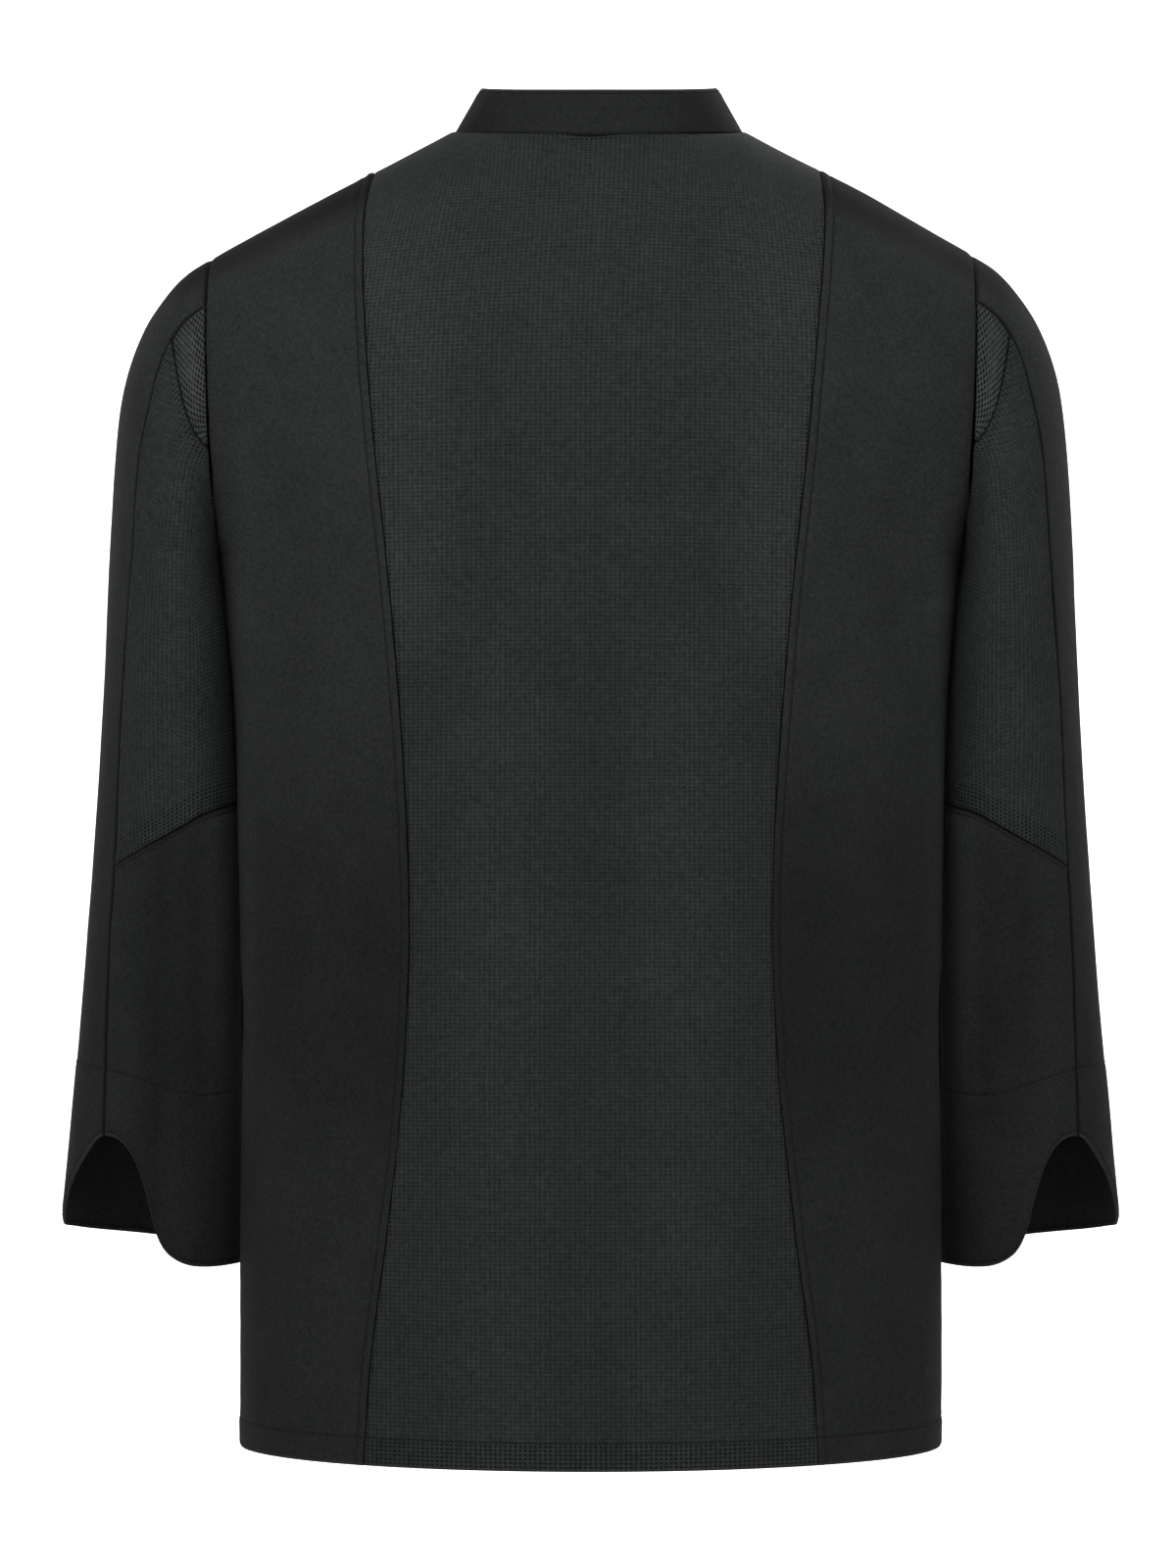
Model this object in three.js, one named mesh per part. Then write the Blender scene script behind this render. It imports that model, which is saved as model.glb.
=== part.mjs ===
import * as THREE from 'three';

// A chef jacket, filled out as if worn, with its sleeves hanging.
// Millimetres, +Z up, +Y the back, +X the wearer's left.
// The origin is the middle of the neck opening, at the height of the collar seam.

// Cloth and seams
const CLOTH_WALL = 2.0;
const COLLAR_WALL = 2.6;
const SEAM_GAP = 0.3;

// Body: one row for each level section, from the hem up to the shoulder blades.
// Each section is a back and a front ellipse, widest at their own widestY, that meet at the side seam.
const BODY_SECTIONS = [
  { height: -735.5, halfWidth: 195.8, seamY: 10, backY: 139.5, backWidestY: 14, frontY: -122, frontWidestY: 10 },
  { height: -640, halfWidth: 195.7, seamY: 12, backY: 132, backWidestY: 16, frontY: -121, frontWidestY: 12 },
  { height: -548, halfWidth: 194.6, seamY: 14, backY: 126, backWidestY: 18, frontY: -120, frontWidestY: 14 },
  { height: -470, halfWidth: 193.7, seamY: 15, backY: 121, backWidestY: 20, frontY: -120, frontWidestY: 15 },
  { height: -378, halfWidth: 195.5, seamY: 12, backY: 118, backWidestY: 20, frontY: -121, frontWidestY: 12 },
  { height: -325, halfWidth: 197, seamY: 5, backY: 117, backWidestY: 16, frontY: -122, frontWidestY: 2 },
  { height: -280, halfWidth: 201.7, seamY: -2, backY: 117, backWidestY: 11, frontY: -122, frontWidestY: -4 },
  { height: -257, halfWidth: 204.4, seamY: -6, backY: 117, backWidestY: 7, frontY: -122, frontWidestY: -8 },
  { height: -240, halfWidth: 207.2, seamY: -8, backY: 117, backWidestY: 4, frontY: -122, frontWidestY: -11 },
  { height: -156, halfWidth: 225, seamY: -8, backY: 116, backWidestY: 4, frontY: -119, frontWidestY: -11 },
];

// Armhole: an upright loop on each side of the body
const ARMHOLE = { middleX: 209.5, middleY: -8, middleZ: -156, halfDepth: 64, halfHeight: 84 };
const ARMHOLE_BACK_SWING = 2;
const ARMHOLE_TOP_SWING = 3.5;
const EDGE_PULL = 6;
const SHOULDER_PULL = 4;

// Neck opening
const NECK = { halfWidth: 81, sideY: -12, backY: 58, backZ: -8, frontY: -88, frontZ: -72 };
const NECK_COLUMN = 0.37;
const NECK_CORNER_SPREAD = 0.2;
const NECK_SHIFT = -4.5;
const BACK_NECK_ANGLE = 58;
const FRONT_NECK_ANGLE = 42;

// The wearer's right shoulder stands a little higher than the left one
const RIGHT_LIFT = { height: 2.9, startX: -100, endX: -160, bottomZ: -330, topZ: -150 };

// Collar band
const COLLAR_HEIGHT = { back: 24.3, side: 25.5, front: 28 };
const COLLAR_LEAN = { back: 7, side: 14.5, front: 9 };
const COLLAR_FRONT_OPENING = 3;
const COLLAR_SEAM_GAP = 0.7;

// Seams that part the mesh centre back from the twill side backs
const BACK_SEAM = [
  { height: -735.5, halfWidth: 123 },
  { height: -680, halfWidth: 119.5 },
  { height: -610, halfWidth: 110.5 },
  { height: -520, halfWidth: 101.5 },
  { height: -425, halfWidth: 99 },
  { height: -290, halfWidth: 107 },
  { height: -170, halfWidth: 119 },
  { height: -60, halfWidth: 127 },
  { height: -25, halfWidth: 125 },
];

// Fronts: the left lies over the right, raised clear of it
const OVERLAP_EDGE = -60;
const UNDERLAP_EDGE = 20;
const OVERLAP_RAISE = CLOTH_WALL + 0.5;
const OVERLAP_RAISE_START = 52;
const OVERLAP_RAISE_END = 26;

// Sleeve: sections between an outer and an inner guide, from the armhole to below the cuff
const SLEEVE_SECTIONS = [
  { along: 0, outerX: 213, outerZ: -72, innerX: 206, innerZ: -240, middleY: -8, halfDepth: 64 },
  { along: 0.03, outerX: 226.2, outerZ: -80.5, innerX: 206.3, innerZ: -246, middleY: -8, halfDepth: 65 },
  { along: 0.06, outerX: 237, outerZ: -91.6, innerX: 205.8, innerZ: -254, middleY: -8, halfDepth: 66 },
  { along: 0.1, outerX: 250.3, outerZ: -111, innerX: 204, innerZ: -268, middleY: -9, halfDepth: 67 },
  { along: 0.15, outerX: 260.4, outerZ: -137, innerX: 201.3, innerZ: -288, middleY: -10, halfDepth: 68 },
  { along: 0.2, outerX: 265.7, outerZ: -165, innerX: 199.2, innerZ: -308, middleY: -12, halfDepth: 68 },
  { along: 0.3, outerX: 270, outerZ: -221, innerX: 197, innerZ: -348, middleY: -15, halfDepth: 66 },
  { along: 0.45, outerX: 274.4, outerZ: -305.5, innerX: 194.4, innerZ: -405, middleY: -20, halfDepth: 63 },
  { along: 0.6, outerX: 280, outerZ: -391, innerX: 193.4, innerZ: -464, middleY: -27, halfDepth: 59 },
  { along: 0.8, outerX: 289.5, outerZ: -503.5, innerX: 193.4, innerZ: -548, middleY: -36, halfDepth: 53 },
  { along: 1, outerX: 301, outerZ: -617.5, innerX: 193.6, innerZ: -636, middleY: -45, halfDepth: 48 },
  { along: 1.1, outerX: 306.5, outerZ: -674.5, innerX: 193.8, innerZ: -680, middleY: -49, halfDepth: 46 },
];
const SLEEVE_CLEARANCE = 0.4;

// Sleeve seams, as angles round the sleeve: 90 is outermost, 0 the back, -90 the inside
const BACK_SEAM_ANGLE = 40;
const UNDERARM_SEAM_ANGLE = -70;
const SEAM_DRIFT_REACH = 45;
const BACK_SEAM_DRIFT = [
  { along: 0, angle: 0 },
  { along: 0.06, angle: 0 },
  { along: 0.12, angle: -6 },
  { along: 0.18, angle: -7 },
  { along: 0.3, angle: -4.5 },
  { along: 0.45, angle: 1 },
  { along: 0.6, angle: 1 },
  { along: 0.74, angle: 0 },
  { along: 0.92, angle: -6 },
  { along: 1.1, angle: -7 },
];

// Gusset at the back of the armhole
const GUSSET_LENGTH = 0.06;
const GUSSET_TIP_ANGLE = -18;
const GUSSET_CURVE = 4;
const GUSSET_TIP_PLACE = 0.97;
const GUSSET_SINK = 1.4;

// Elbow seam and cuff edge: the heights they run at, by the angle round the sleeve
const ELBOW_SEAM = [
  { angle: -70, height: -378 },
  { angle: -30, height: -384 },
  { angle: 0, height: -396 },
  { angle: 40, height: -413 },
];
const CUFF_EDGE = [
  { angle: -70, height: -638 },
  { angle: -29, height: -638.5 },
  { angle: -12, height: -633 },
  { angle: -2, height: -622 },
  { angle: 7, height: -598 },
  { angle: 15, height: -580 },
  { angle: 25, height: -568.5 },
  { angle: 36, height: -564.5 },
  { angle: 46, height: -566.5 },
  { angle: 57, height: -577 },
  { angle: 72, height: -592 },
  { angle: 82, height: -604 },
  { angle: 90, height: -613 },
  { angle: 98, height: -618 },
  { angle: 112, height: -620 },
  { angle: 135, height: -623 },
  { angle: 180, height: -628 },
  { angle: 235, height: -635 },
  { angle: 290, height: -638 },
];

// Soft upright drapes of the back: a ridge where the depth is above zero, a trough where it is below
const BACK_DRAPES = [
  { x: 128, reach: 17, top: -400, bottom: -640, depth: -3 },
  { x: 168, reach: 15, top: -360, bottom: -735, depth: 2.4 },
  { x: 60, reach: 26, top: -420, bottom: -735, depth: 1.6 },
  { x: 0, reach: 22, top: -480, bottom: -735, depth: -1.5 },
  { x: 170, reach: 16, top: -150, bottom: -330, depth: -2.2 },
];

// Buttons
const BUTTON = { count: 7, radius: 8.5, thickness: 3.2, insetX: 18, firstZ: -88, lastZ: -600, sides: 20 };

// How finely the cloth is divided
const SHOULDER_SEAM_PLACE = 0.9995;
const ROWS = { skirt: 11, armhole: 6, shoulder: 8 };
const COLUMNS = { centreNeck: 8, centreShoulder: 3, sideBack: 6, frontEdge: 4, frontNeck: 8, frontSide: 7 };
const NOTCH_START_ANGLE = 92;
const SLEEVE_ROWS = { upperBack: 12, lowerBack: 8, gusset: 3 };
const SLEEVE_COLUMNS = { outerWide: 12, outerNotch: 6, beyondGusset: 5, gusset: 8 };
const COLLAR_COLUMNS = 32;
const COLLAR_ROWS = 3;

const TWILL = { color: 0x212322, roughness: 0.86, metalness: 0 };
const MESH_CLOTH = { color: 0x282a2c, roughness: 0.8, metalness: 0 };
const OPEN_MESH_CLOTH = { color: 0x303234, roughness: 0.78, metalness: 0 };
const BUTTON_PLASTIC = { color: 0x161617, roughness: 0.4, metalness: 0 };

const radians = (angle) => THREE.MathUtils.degToRad(angle);
const mix = (from, to, share) => from + (to - from) * share;
const smooth = (value) => THREE.MathUtils.smoothstep(value, 0, 1);

// A smooth curve between two values that starts and ends at given slopes
function hermite(start, end, startSlope, endSlope, share) {
  const square = share * share;
  const cube = square * share;
  return start * (2 * cube - 3 * square + 1) + end * (3 * square - 2 * cube)
    + startSlope * (cube - 2 * square + share) + endSlope * (cube - square);
}

// A smooth curve through one column of a table, read at a place in its key column
function readTable(table, key, column, place) {
  const rising = table[0][key] < table[table.length - 1][key];
  const rows = rising ? table : [...table].reverse();
  let index = rows.findIndex((row) => row[key] > place) - 1;
  if (index === -2) index = rows.length - 2;
  index = Math.max(index, 0);
  const slope = (a, b) => (rows[b][column] - rows[a][column]) / (rows[b][key] - rows[a][key]);
  const tangent = (at) => slope(Math.max(at - 1, 0), Math.min(at + 1, rows.length - 1));
  const start = rows[index];
  const end = rows[index + 1];
  const span = end[key] - start[key];
  const share = (place - start[key]) / span;
  if (share < 0 || share > 1) {
    const edge = share < 0 ? index : index + 1;
    return rows[edge][column] + tangent(edge) * (place - rows[edge][key]);
  }
  return hermite(start[column], end[column], tangent(index) * span, tangent(index + 1) * span, share);
}

// The place between two ends where a falling or rising measure crosses zero
function solve(measure, low, high) {
  const lowIsNegative = measure(low) < 0;
  for (let step = 0; step < 30; step += 1) {
    const middle = (low + high) / 2;
    if ((measure(middle) < 0) === lowIsNegative) low = middle;
    else high = middle;
  }
  return (low + high) / 2;
}

// The armhole loop: 90 is the shoulder point, 0 the back, -90 the underarm
function armholePoint(angle) {
  const back = Math.cos(radians(angle));
  const up = Math.sin(radians(angle));
  return new THREE.Vector3(
    ARMHOLE.middleX + ARMHOLE_BACK_SWING * back + ARMHOLE_TOP_SWING * up,
    ARMHOLE.middleY + ARMHOLE.halfDepth * back,
    ARMHOLE.middleZ + ARMHOLE.halfHeight * up,
  );
}

// The neck opening on one side: 0 is the middle of the back or front, 90 the side of the neck
function neckPoint(isBack, angle) {
  const across = Math.sin(radians(angle));
  const along = Math.cos(radians(angle));
  const endY = isBack ? NECK.backY : NECK.frontY;
  const endZ = isBack ? NECK.backZ : NECK.frontZ;
  return new THREE.Vector3(NECK.halfWidth * across, mix(NECK.sideY, endY, along), endZ * along);
}

// The top edge of the body: the neck opening, then the straight shoulder out to the armhole
function topPoint(isBack, column) {
  if (column <= NECK_COLUMN) return neckPoint(isBack, 90 * (column / NECK_COLUMN));
  const share = (column - NECK_COLUMN) / (1 - NECK_COLUMN);
  return neckPoint(isBack, 90).lerp(armholePoint(90), share);
}

// The top edge as the rows below it feel it: its corner at the side of the neck fades out downwards
function softTopPoint(isBack, column, rise) {
  const room = Math.min(1, column / NECK_CORNER_SPREAD, (1 - column) / NECK_CORNER_SPREAD);
  const spread = NECK_CORNER_SPREAD * (1 - rise) * room;
  const steps = [-1, -0.5, 0, 0.5, 1];
  const sum = new THREE.Vector3();
  for (const step of steps) sum.add(topPoint(isBack, column + step * spread));
  return sum.divideScalar(steps.length);
}

// The middle and the widest place of a half section of the body
function readSection(isBack, height) {
  return {
    middleY: readTable(BODY_SECTIONS, 'height', isBack ? 'backY' : 'frontY', height),
    widestY: readTable(BODY_SECTIONS, 'height', isBack ? 'backWidestY' : 'frontWidestY', height),
  };
}

// The angle round a half section, from its middle, at which it reaches y
const edgeAngle = ({ middleY, widestY }, y) => Math.acos((y - widestY) / (middleY - widestY));

// The side seam below the underarm
function sideSeam(height) {
  const y = readTable(BODY_SECTIONS, 'height', 'seamY', height);
  const halfWidth = readTable(BODY_SECTIONS, 'height', 'halfWidth', height);
  return new THREE.Vector3(halfWidth * Math.sin(edgeAngle(readSection(true, height), y)), y, height);
}

// The half width of the ellipse through an edge
const widthThrough = (isBack, edge) => edge.x / Math.sin(edgeAngle(readSection(isBack, edge.z), edge.y));

// The half width of the ellipse of a level row. It grows evenly from the underarm up to the shoulder blades,
// so the rows' quick turn round the armhole leaves no crease.
function rowHalfWidth(isBack, height) {
  const underarm = ARMHOLE.middleZ - ARMHOLE.halfHeight;
  if (height <= underarm) return widthThrough(isBack, sideSeam(height));
  const low = widthThrough(isBack, sideSeam(underarm));
  const lowSlope = (low - widthThrough(isBack, sideSeam(underarm - 1))) * ARMHOLE.halfHeight;
  const high = widthThrough(isBack, armholePoint(isBack ? 0 : 180));
  return hermite(low, high, lowSlope, ARMHOLE_TOP_SWING, (height - underarm) / ARMHOLE.halfHeight);
}

// A level row of the body, from the middle at column 0 to its side edge at column 1.
// It is part of an ellipse, drawn in or out to the edge near its end.
function levelPoint(isBack, column, height, edge) {
  const section = readSection(isBack, height);
  const limit = edgeAngle(section, edge.y);
  const angle = limit * column;
  const halfWidth = rowHalfWidth(isBack, height);
  const pull = (edge.x - halfWidth * Math.sin(limit)) * column ** EDGE_PULL;
  return new THREE.Vector3(
    halfWidth * Math.sin(angle) + pull,
    mix(section.widestY, section.middleY, Math.cos(angle)),
    height,
  );
}

// Rows run from 0 at the hem to 1 at the underarm, 2 at the shoulder blades and 3 at the top edge
function plainBodyPoint(isBack, column, row) {
  if (row <= 1) {
    const hem = BODY_SECTIONS[0].height;
    const height = mix(hem, ARMHOLE.middleZ - ARMHOLE.halfHeight, row);
    return levelPoint(isBack, column, height, sideSeam(height));
  }
  if (row <= 2) {
    const angle = 90 * (row - 2);
    const edge = armholePoint(isBack ? angle : 180 - angle);
    return levelPoint(isBack, column, edge.z, edge);
  }
  const blade = plainBodyPoint(isBack, column, 2);
  const top = softTopPoint(isBack, column, row - 2);
  const neckAngle = isBack ? BACK_NECK_ANGLE : FRONT_NECK_ANGLE;
  const limit = radians(mix(neckAngle, 90, smooth(Math.min(column / NECK_COLUMN, 1))));
  const angle = limit * (row - 2);
  const bow = (Math.cos(angle) - Math.cos(limit)) / (1 - Math.cos(limit));
  const rise = Math.sin(angle) / Math.sin(limit);
  const armhole = armholePoint(isBack ? 90 * (row - 2) : 180 - 90 * (row - 2));
  const straightX = mix(armholePoint(isBack ? 0 : 180).x, armholePoint(90).x, row - 2);
  const pull = (armhole.x - straightX) * column ** SHOULDER_PULL;
  return new THREE.Vector3(
    mix(blade.x, top.x, row - 2) + pull,
    mix(top.y, blade.y, bow),
    mix(blade.z, top.z, rise),
  );
}

// How far the soft drapes lift the back at a place
function drapeLift(x, height) {
  let lift = 0;
  for (const drape of BACK_DRAPES) {
    const across = (Math.abs(x) - drape.x) / drape.reach;
    const down = (drape.top - height) / (drape.top - drape.bottom);
    if (down <= 0 || down >= 1) continue;
    const openBelow = drape.bottom === BODY_SECTIONS[0].height;
    const length = openBelow ? smooth(Math.min(down * 2, 1)) : Math.sin(Math.PI * down) ** 2;
    lift += drape.depth * Math.exp(-across * across) * length;
  }
  return lift;
}

// How far the neck, set a little towards the wearer's right, draws the shoulders with it
function neckShift(column, row) {
  if (row <= 2) return 0;
  const beyondNeck = (Math.abs(column) - NECK_COLUMN) / (1 - NECK_COLUMN);
  return NECK_SHIFT * smooth(row - 2) * (1 - smooth(beyondNeck));
}

// How far a place of the finished jacket is raised with the wearer's right shoulder
function rightLift(x, z) {
  const across = (RIGHT_LIFT.startX - x) / (RIGHT_LIFT.startX - RIGHT_LIFT.endX);
  const up = (z - RIGHT_LIFT.bottomZ) / (RIGHT_LIFT.topZ - RIGHT_LIFT.bottomZ);
  return RIGHT_LIFT.height * smooth(across) * smooth(up);
}

// A point of the body on either side: a negative column is the wearer's right
function bodyPoint(isBack, column, row) {
  const point = plainBodyPoint(isBack, Math.abs(column), row);
  if (isBack) point.y += drapeLift(point.x, point.z);
  if (column < 0) point.x = -point.x;
  point.x += neckShift(column, row);
  point.z += rightLift(point.x, point.z);
  return point;
}

// The column at which a row of the body reaches a half width that may change with height
function columnAt(isBack, row, halfWidthAt) {
  const measure = (column) => {
    const point = plainBodyPoint(isBack, column, row);
    return point.x - halfWidthAt(point.z);
  };
  return solve(measure, 0, 1);
}

const backSeamColumn = (row) => columnAt(true, row, (z) => readTable(BACK_SEAM, 'height', 'halfWidth', z));

// A point of the left sleeve: along is 0 at the armhole and about 1 at the cuff
function sleevePoint(along, angle) {
  const read = (column) => readTable(SLEEVE_SECTIONS, 'along', column, along);
  const reach = (angle - BACK_SEAM_ANGLE) / SEAM_DRIFT_REACH;
  const drift = readTable(BACK_SEAM_DRIFT, 'along', 'angle', along) * Math.exp(-reach * reach);
  const out = Math.sin(radians(angle + drift));
  const back = Math.cos(radians(angle + drift));
  const swing = ARMHOLE_BACK_SWING * back * Math.max(1 - along / SLEEVE_SECTIONS[3].along, 0);
  return new THREE.Vector3(
    mix(read('innerX'), read('outerX'), (1 + out) / 2) + swing + SLEEVE_CLEARANCE,
    read('middleY') + read('halfDepth') * back,
    mix(read('innerZ'), read('outerZ'), (1 + out) / 2),
  );
}

// How far along the sleeve a line at one angle reaches a height
function sleeveAlongAt(angle, height) {
  return solve((along) => sleevePoint(along, angle).z - height, 0.2, SLEEVE_SECTIONS.at(-1).along);
}

const elbowAlong = (angle) => sleeveAlongAt(angle, readTable(ELBOW_SEAM, 'angle', 'height', angle));
const cuffAlong = (angle) => sleeveAlongAt(angle, readTable(CUFF_EDGE, 'angle', 'height', angle));

// How far along the sleeve the folded edge of the gusset lies
function gussetAlong(angle) {
  const share = (BACK_SEAM_ANGLE - angle) / (BACK_SEAM_ANGLE - GUSSET_TIP_ANGLE);
  return share >= 1 ? 0 : GUSSET_LENGTH * (1 - share ** GUSSET_CURVE);
}

// The outward direction of a surface at a place between 0 and 1 both ways
function surfaceNormal(surface, across, up) {
  const step = 0.004;
  const clampedAcross = THREE.MathUtils.clamp(across, step, 1 - step);
  const clampedUp = THREE.MathUtils.clamp(up, step, 1 - step);
  const alongAcross = surface(clampedAcross + step, clampedUp).sub(surface(clampedAcross - step, clampedUp));
  const alongUp = surface(clampedAcross, clampedUp + step).sub(surface(clampedAcross, clampedUp - step));
  return alongAcross.cross(alongUp).normalize();
}

// Moves the edge of a grid of points in by half a seam gap
function insetGrid(grid) {
  const pull = (point, neighbour) => {
    const step = neighbour.clone().sub(point);
    point.add(step.setLength(Math.min(SEAM_GAP / 2, step.length() / 3)));
  };
  for (const line of grid) {
    pull(line[0], line[1]);
    pull(line[line.length - 1], line[line.length - 2]);
  }
  grid[0].forEach((point, index) => pull(point, grid[1][index]));
  grid[grid.length - 1].forEach((point, index) => pull(point, grid[grid.length - 2][index]));
}

// Joins an outer and an inner grid of points into one closed wall
function wallGeometry(outer, inner) {
  const lines = outer.length;
  const length = outer[0].length;
  const positions = [...outer.flat(), ...inner.flat()].flatMap((point) => [point.x, point.y, point.z]);
  const at = (line, index, isInner) => line * length + index + (isInner ? lines * length : 0);
  const triangles = [];
  const quad = (a, b, c, d) => triangles.push(a, b, c, a, c, d);
  for (let line = 0; line < lines - 1; line += 1) {
    for (let index = 0; index < length - 1; index += 1) {
      quad(at(line, index), at(line + 1, index), at(line + 1, index + 1), at(line, index + 1));
      quad(
        at(line, index, true), at(line, index + 1, true),
        at(line + 1, index + 1, true), at(line + 1, index, true),
      );
    }
  }
  for (let line = 0; line < lines - 1; line += 1) {
    const last = length - 1;
    quad(at(line, 0), at(line, 0, true), at(line + 1, 0, true), at(line + 1, 0));
    quad(at(line, last), at(line + 1, last), at(line + 1, last, true), at(line, last, true));
  }
  for (let index = 0; index < length - 1; index += 1) {
    const last = lines - 1;
    quad(at(0, index), at(0, index + 1), at(0, index + 1, true), at(0, index, true));
    quad(at(last, index), at(last, index, true), at(last, index + 1, true), at(last, index + 1));
  }
  const geometry = new THREE.BufferGeometry();
  geometry.setAttribute('position', new THREE.Float32BufferAttribute(positions, 3));
  geometry.setIndex(triangles);
  geometry.computeVertexNormals();
  return geometry;
}

// A cloth wall over a surface, whose two places both run from 0 to 1
function clothPanel(surface, acrossPlaces, upPlaces, wall, raise = () => 0) {
  const outer = [];
  const inner = [];
  for (const across of acrossPlaces) {
    const outerLine = [];
    const innerLine = [];
    for (const up of upPlaces) {
      const normal = surfaceNormal(surface, across, up);
      const point = surface(across, up).addScaledVector(normal, raise(across, up));
      outerLine.push(point);
      innerLine.push(point.clone().addScaledVector(normal, -wall));
    }
    outer.push(outerLine);
    inner.push(innerLine);
  }
  insetGrid(outer);
  insetGrid(inner);
  return wallGeometry(outer, inner);
}

// Evenly spaced places from 0 to 1
const evenPlaces = (count) => Array.from({ length: count + 1 }, (_, index) => index / count);

// The rows of a body panel, as places from 0 to 1 over its three bands, ending just short of the top edge
function bodyRowPlaces() {
  const band = (start, count) => evenPlaces(count).map((place) => (start + place) / 3);
  return [
    ...band(0, ROWS.skirt).slice(0, -1),
    ...band(1, ROWS.armhole).slice(0, -1),
    ...band(2, ROWS.shoulder).slice(0, -1),
    SHOULDER_SEAM_PLACE,
  ];
}

// The same geometry on the wearer's right, raised with that shoulder
function mirrored(geometry) {
  const copy = geometry.clone().scale(-1, 1, 1);
  const index = copy.getIndex();
  for (let corner = 0; corner < index.count; corner += 3) {
    const first = index.getX(corner);
    index.setX(corner, index.getX(corner + 1));
    index.setX(corner + 1, first);
  }
  const positions = copy.getAttribute('position');
  for (let vertex = 0; vertex < positions.count; vertex += 1) {
    const z = positions.getZ(vertex);
    positions.setZ(vertex, z + rightLift(positions.getX(vertex), z));
  }
  copy.computeVertexNormals();
  return copy;
}

function namedMesh(name, geometry, finish) {
  const mesh = new THREE.Mesh(geometry, new THREE.MeshStandardMaterial(finish));
  mesh.name = name;
  return mesh;
}

// The left piece and its mirrored right one
function mirroredPair(leftName, rightName, geometry, finish) {
  return [namedMesh(leftName, geometry, finish), namedMesh(rightName, mirrored(geometry), finish)];
}

function backCentre() {
  const surface = (across, up) => {
    const row = up * 3;
    return bodyPoint(true, (1 - 2 * across) * backSeamColumn(row), row);
  };
  const neckShare = NECK_COLUMN / backSeamColumn(3);
  const half = [
    ...evenPlaces(COLUMNS.centreNeck).slice(0, -1).map((place) => place * neckShare),
    ...evenPlaces(COLUMNS.centreShoulder).map((place) => mix(neckShare, 1, place)),
  ];
  const places = [
    ...half.slice(1).reverse().map((share) => (1 - share) / 2),
    ...half.map((share) => (1 + share) / 2),
  ];
  return [namedMesh('back_center', clothPanel(surface, places, bodyRowPlaces(), CLOTH_WALL), MESH_CLOTH)];
}

// A side back, from its side seam to the centre back's seam
function sideBack(name, side) {
  const surface = (across, up) => {
    const row = up * 3;
    const fromLeft = side > 0 ? across : 1 - across;
    return bodyPoint(true, side * mix(1, backSeamColumn(row), fromLeft), row);
  };
  const geometry = clothPanel(surface, evenPlaces(COLUMNS.sideBack), bodyRowPlaces(), CLOTH_WALL);
  return namedMesh(name, geometry, TWILL);
}

const sideBacks = () => [sideBack('back_side_left', 1), sideBack('back_side_right', -1)];

// The columns of a front, from its free edge across the neck to the side
function frontPlaces(edgeColumn) {
  const spread = 1 + edgeColumn;
  const fromColumn = (column) => (column + edgeColumn) / spread;
  return [
    ...evenPlaces(COLUMNS.frontEdge).slice(0, -1).map((place) => place * fromColumn(0)),
    ...evenPlaces(COLUMNS.frontNeck).slice(0, -1)
      .map((place) => mix(fromColumn(0), fromColumn(NECK_COLUMN), place)),
    ...evenPlaces(COLUMNS.frontSide).map((place) => mix(fromColumn(NECK_COLUMN), 1, place)),
  ];
}

// A front on one side, reaching past the middle by its free edge, raised by a height that its x gives
function front(name, side, pastMiddle, raiseAt) {
  const topColumn = columnAt(false, 3, () => pastMiddle);
  const places = frontPlaces(topColumn);
  const surface = (across, up) => {
    const row = up * 3;
    const column = mix(-topColumn, 1, side > 0 ? across : 1 - across);
    if (column >= 0) return bodyPoint(false, side * column, row);
    const edgeColumn = columnAt(false, row, () => pastMiddle);
    return bodyPoint(false, side * column * (edgeColumn / topColumn), row);
  };
  const ordered = side > 0 ? places : [...places].reverse().map((place) => 1 - place);
  const raise = (across, up) => raiseAt(surface(across, up).x);
  return namedMesh(name, clothPanel(surface, ordered, bodyRowPlaces(), CLOTH_WALL, raise), TWILL);
}

function fronts() {
  const raiseSpan = OVERLAP_RAISE_START - OVERLAP_RAISE_END;
  const overRaise = (x) => OVERLAP_RAISE * smooth((OVERLAP_RAISE_START - x) / raiseSpan);
  return [
    front('front_left', 1, -OVERLAP_EDGE, overRaise),
    front('front_right', -1, UNDERLAP_EDGE, () => 0),
  ];
}

// The collar band: round is 0 at one front end, 0.5 at the middle of the back and 1 at the other front end
function collarPoint(round, up) {
  const turn = 360 * round - 180;
  const side = Math.sin(radians(turn));
  const isBack = Math.abs(turn) <= 90;
  const base = neckPoint(isBack, isBack ? Math.abs(turn) : 180 - Math.abs(turn));
  const end = Math.abs(Math.cos(radians(turn)));
  const share = end * end;
  const height = mix(COLLAR_HEIGHT.side, isBack ? COLLAR_HEIGHT.back : COLLAR_HEIGHT.front, share);
  const lean = mix(COLLAR_LEAN.side, isBack ? COLLAR_LEAN.back : COLLAR_LEAN.front, share);
  const inward = new THREE.Vector3(-Math.abs(side), isBack ? -end : end, 0);
  base.addScaledVector(inward, lean * up);
  base.z += COLLAR_SEAM_GAP + height * up;
  base.x = base.x * Math.sign(side) + NECK_SHIFT;
  return base;
}

function collar() {
  const ring = 2 * Math.PI * NECK.halfWidth;
  const inset = COLLAR_FRONT_OPENING / 2 / ring;
  const surface = (across, up) => collarPoint(mix(1 - inset, inset, across), up);
  const geometry = clothPanel(surface, evenPlaces(COLLAR_COLUMNS), evenPlaces(COLLAR_ROWS), COLLAR_WALL);
  return [namedMesh('collar', geometry, TWILL)];
}

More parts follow.
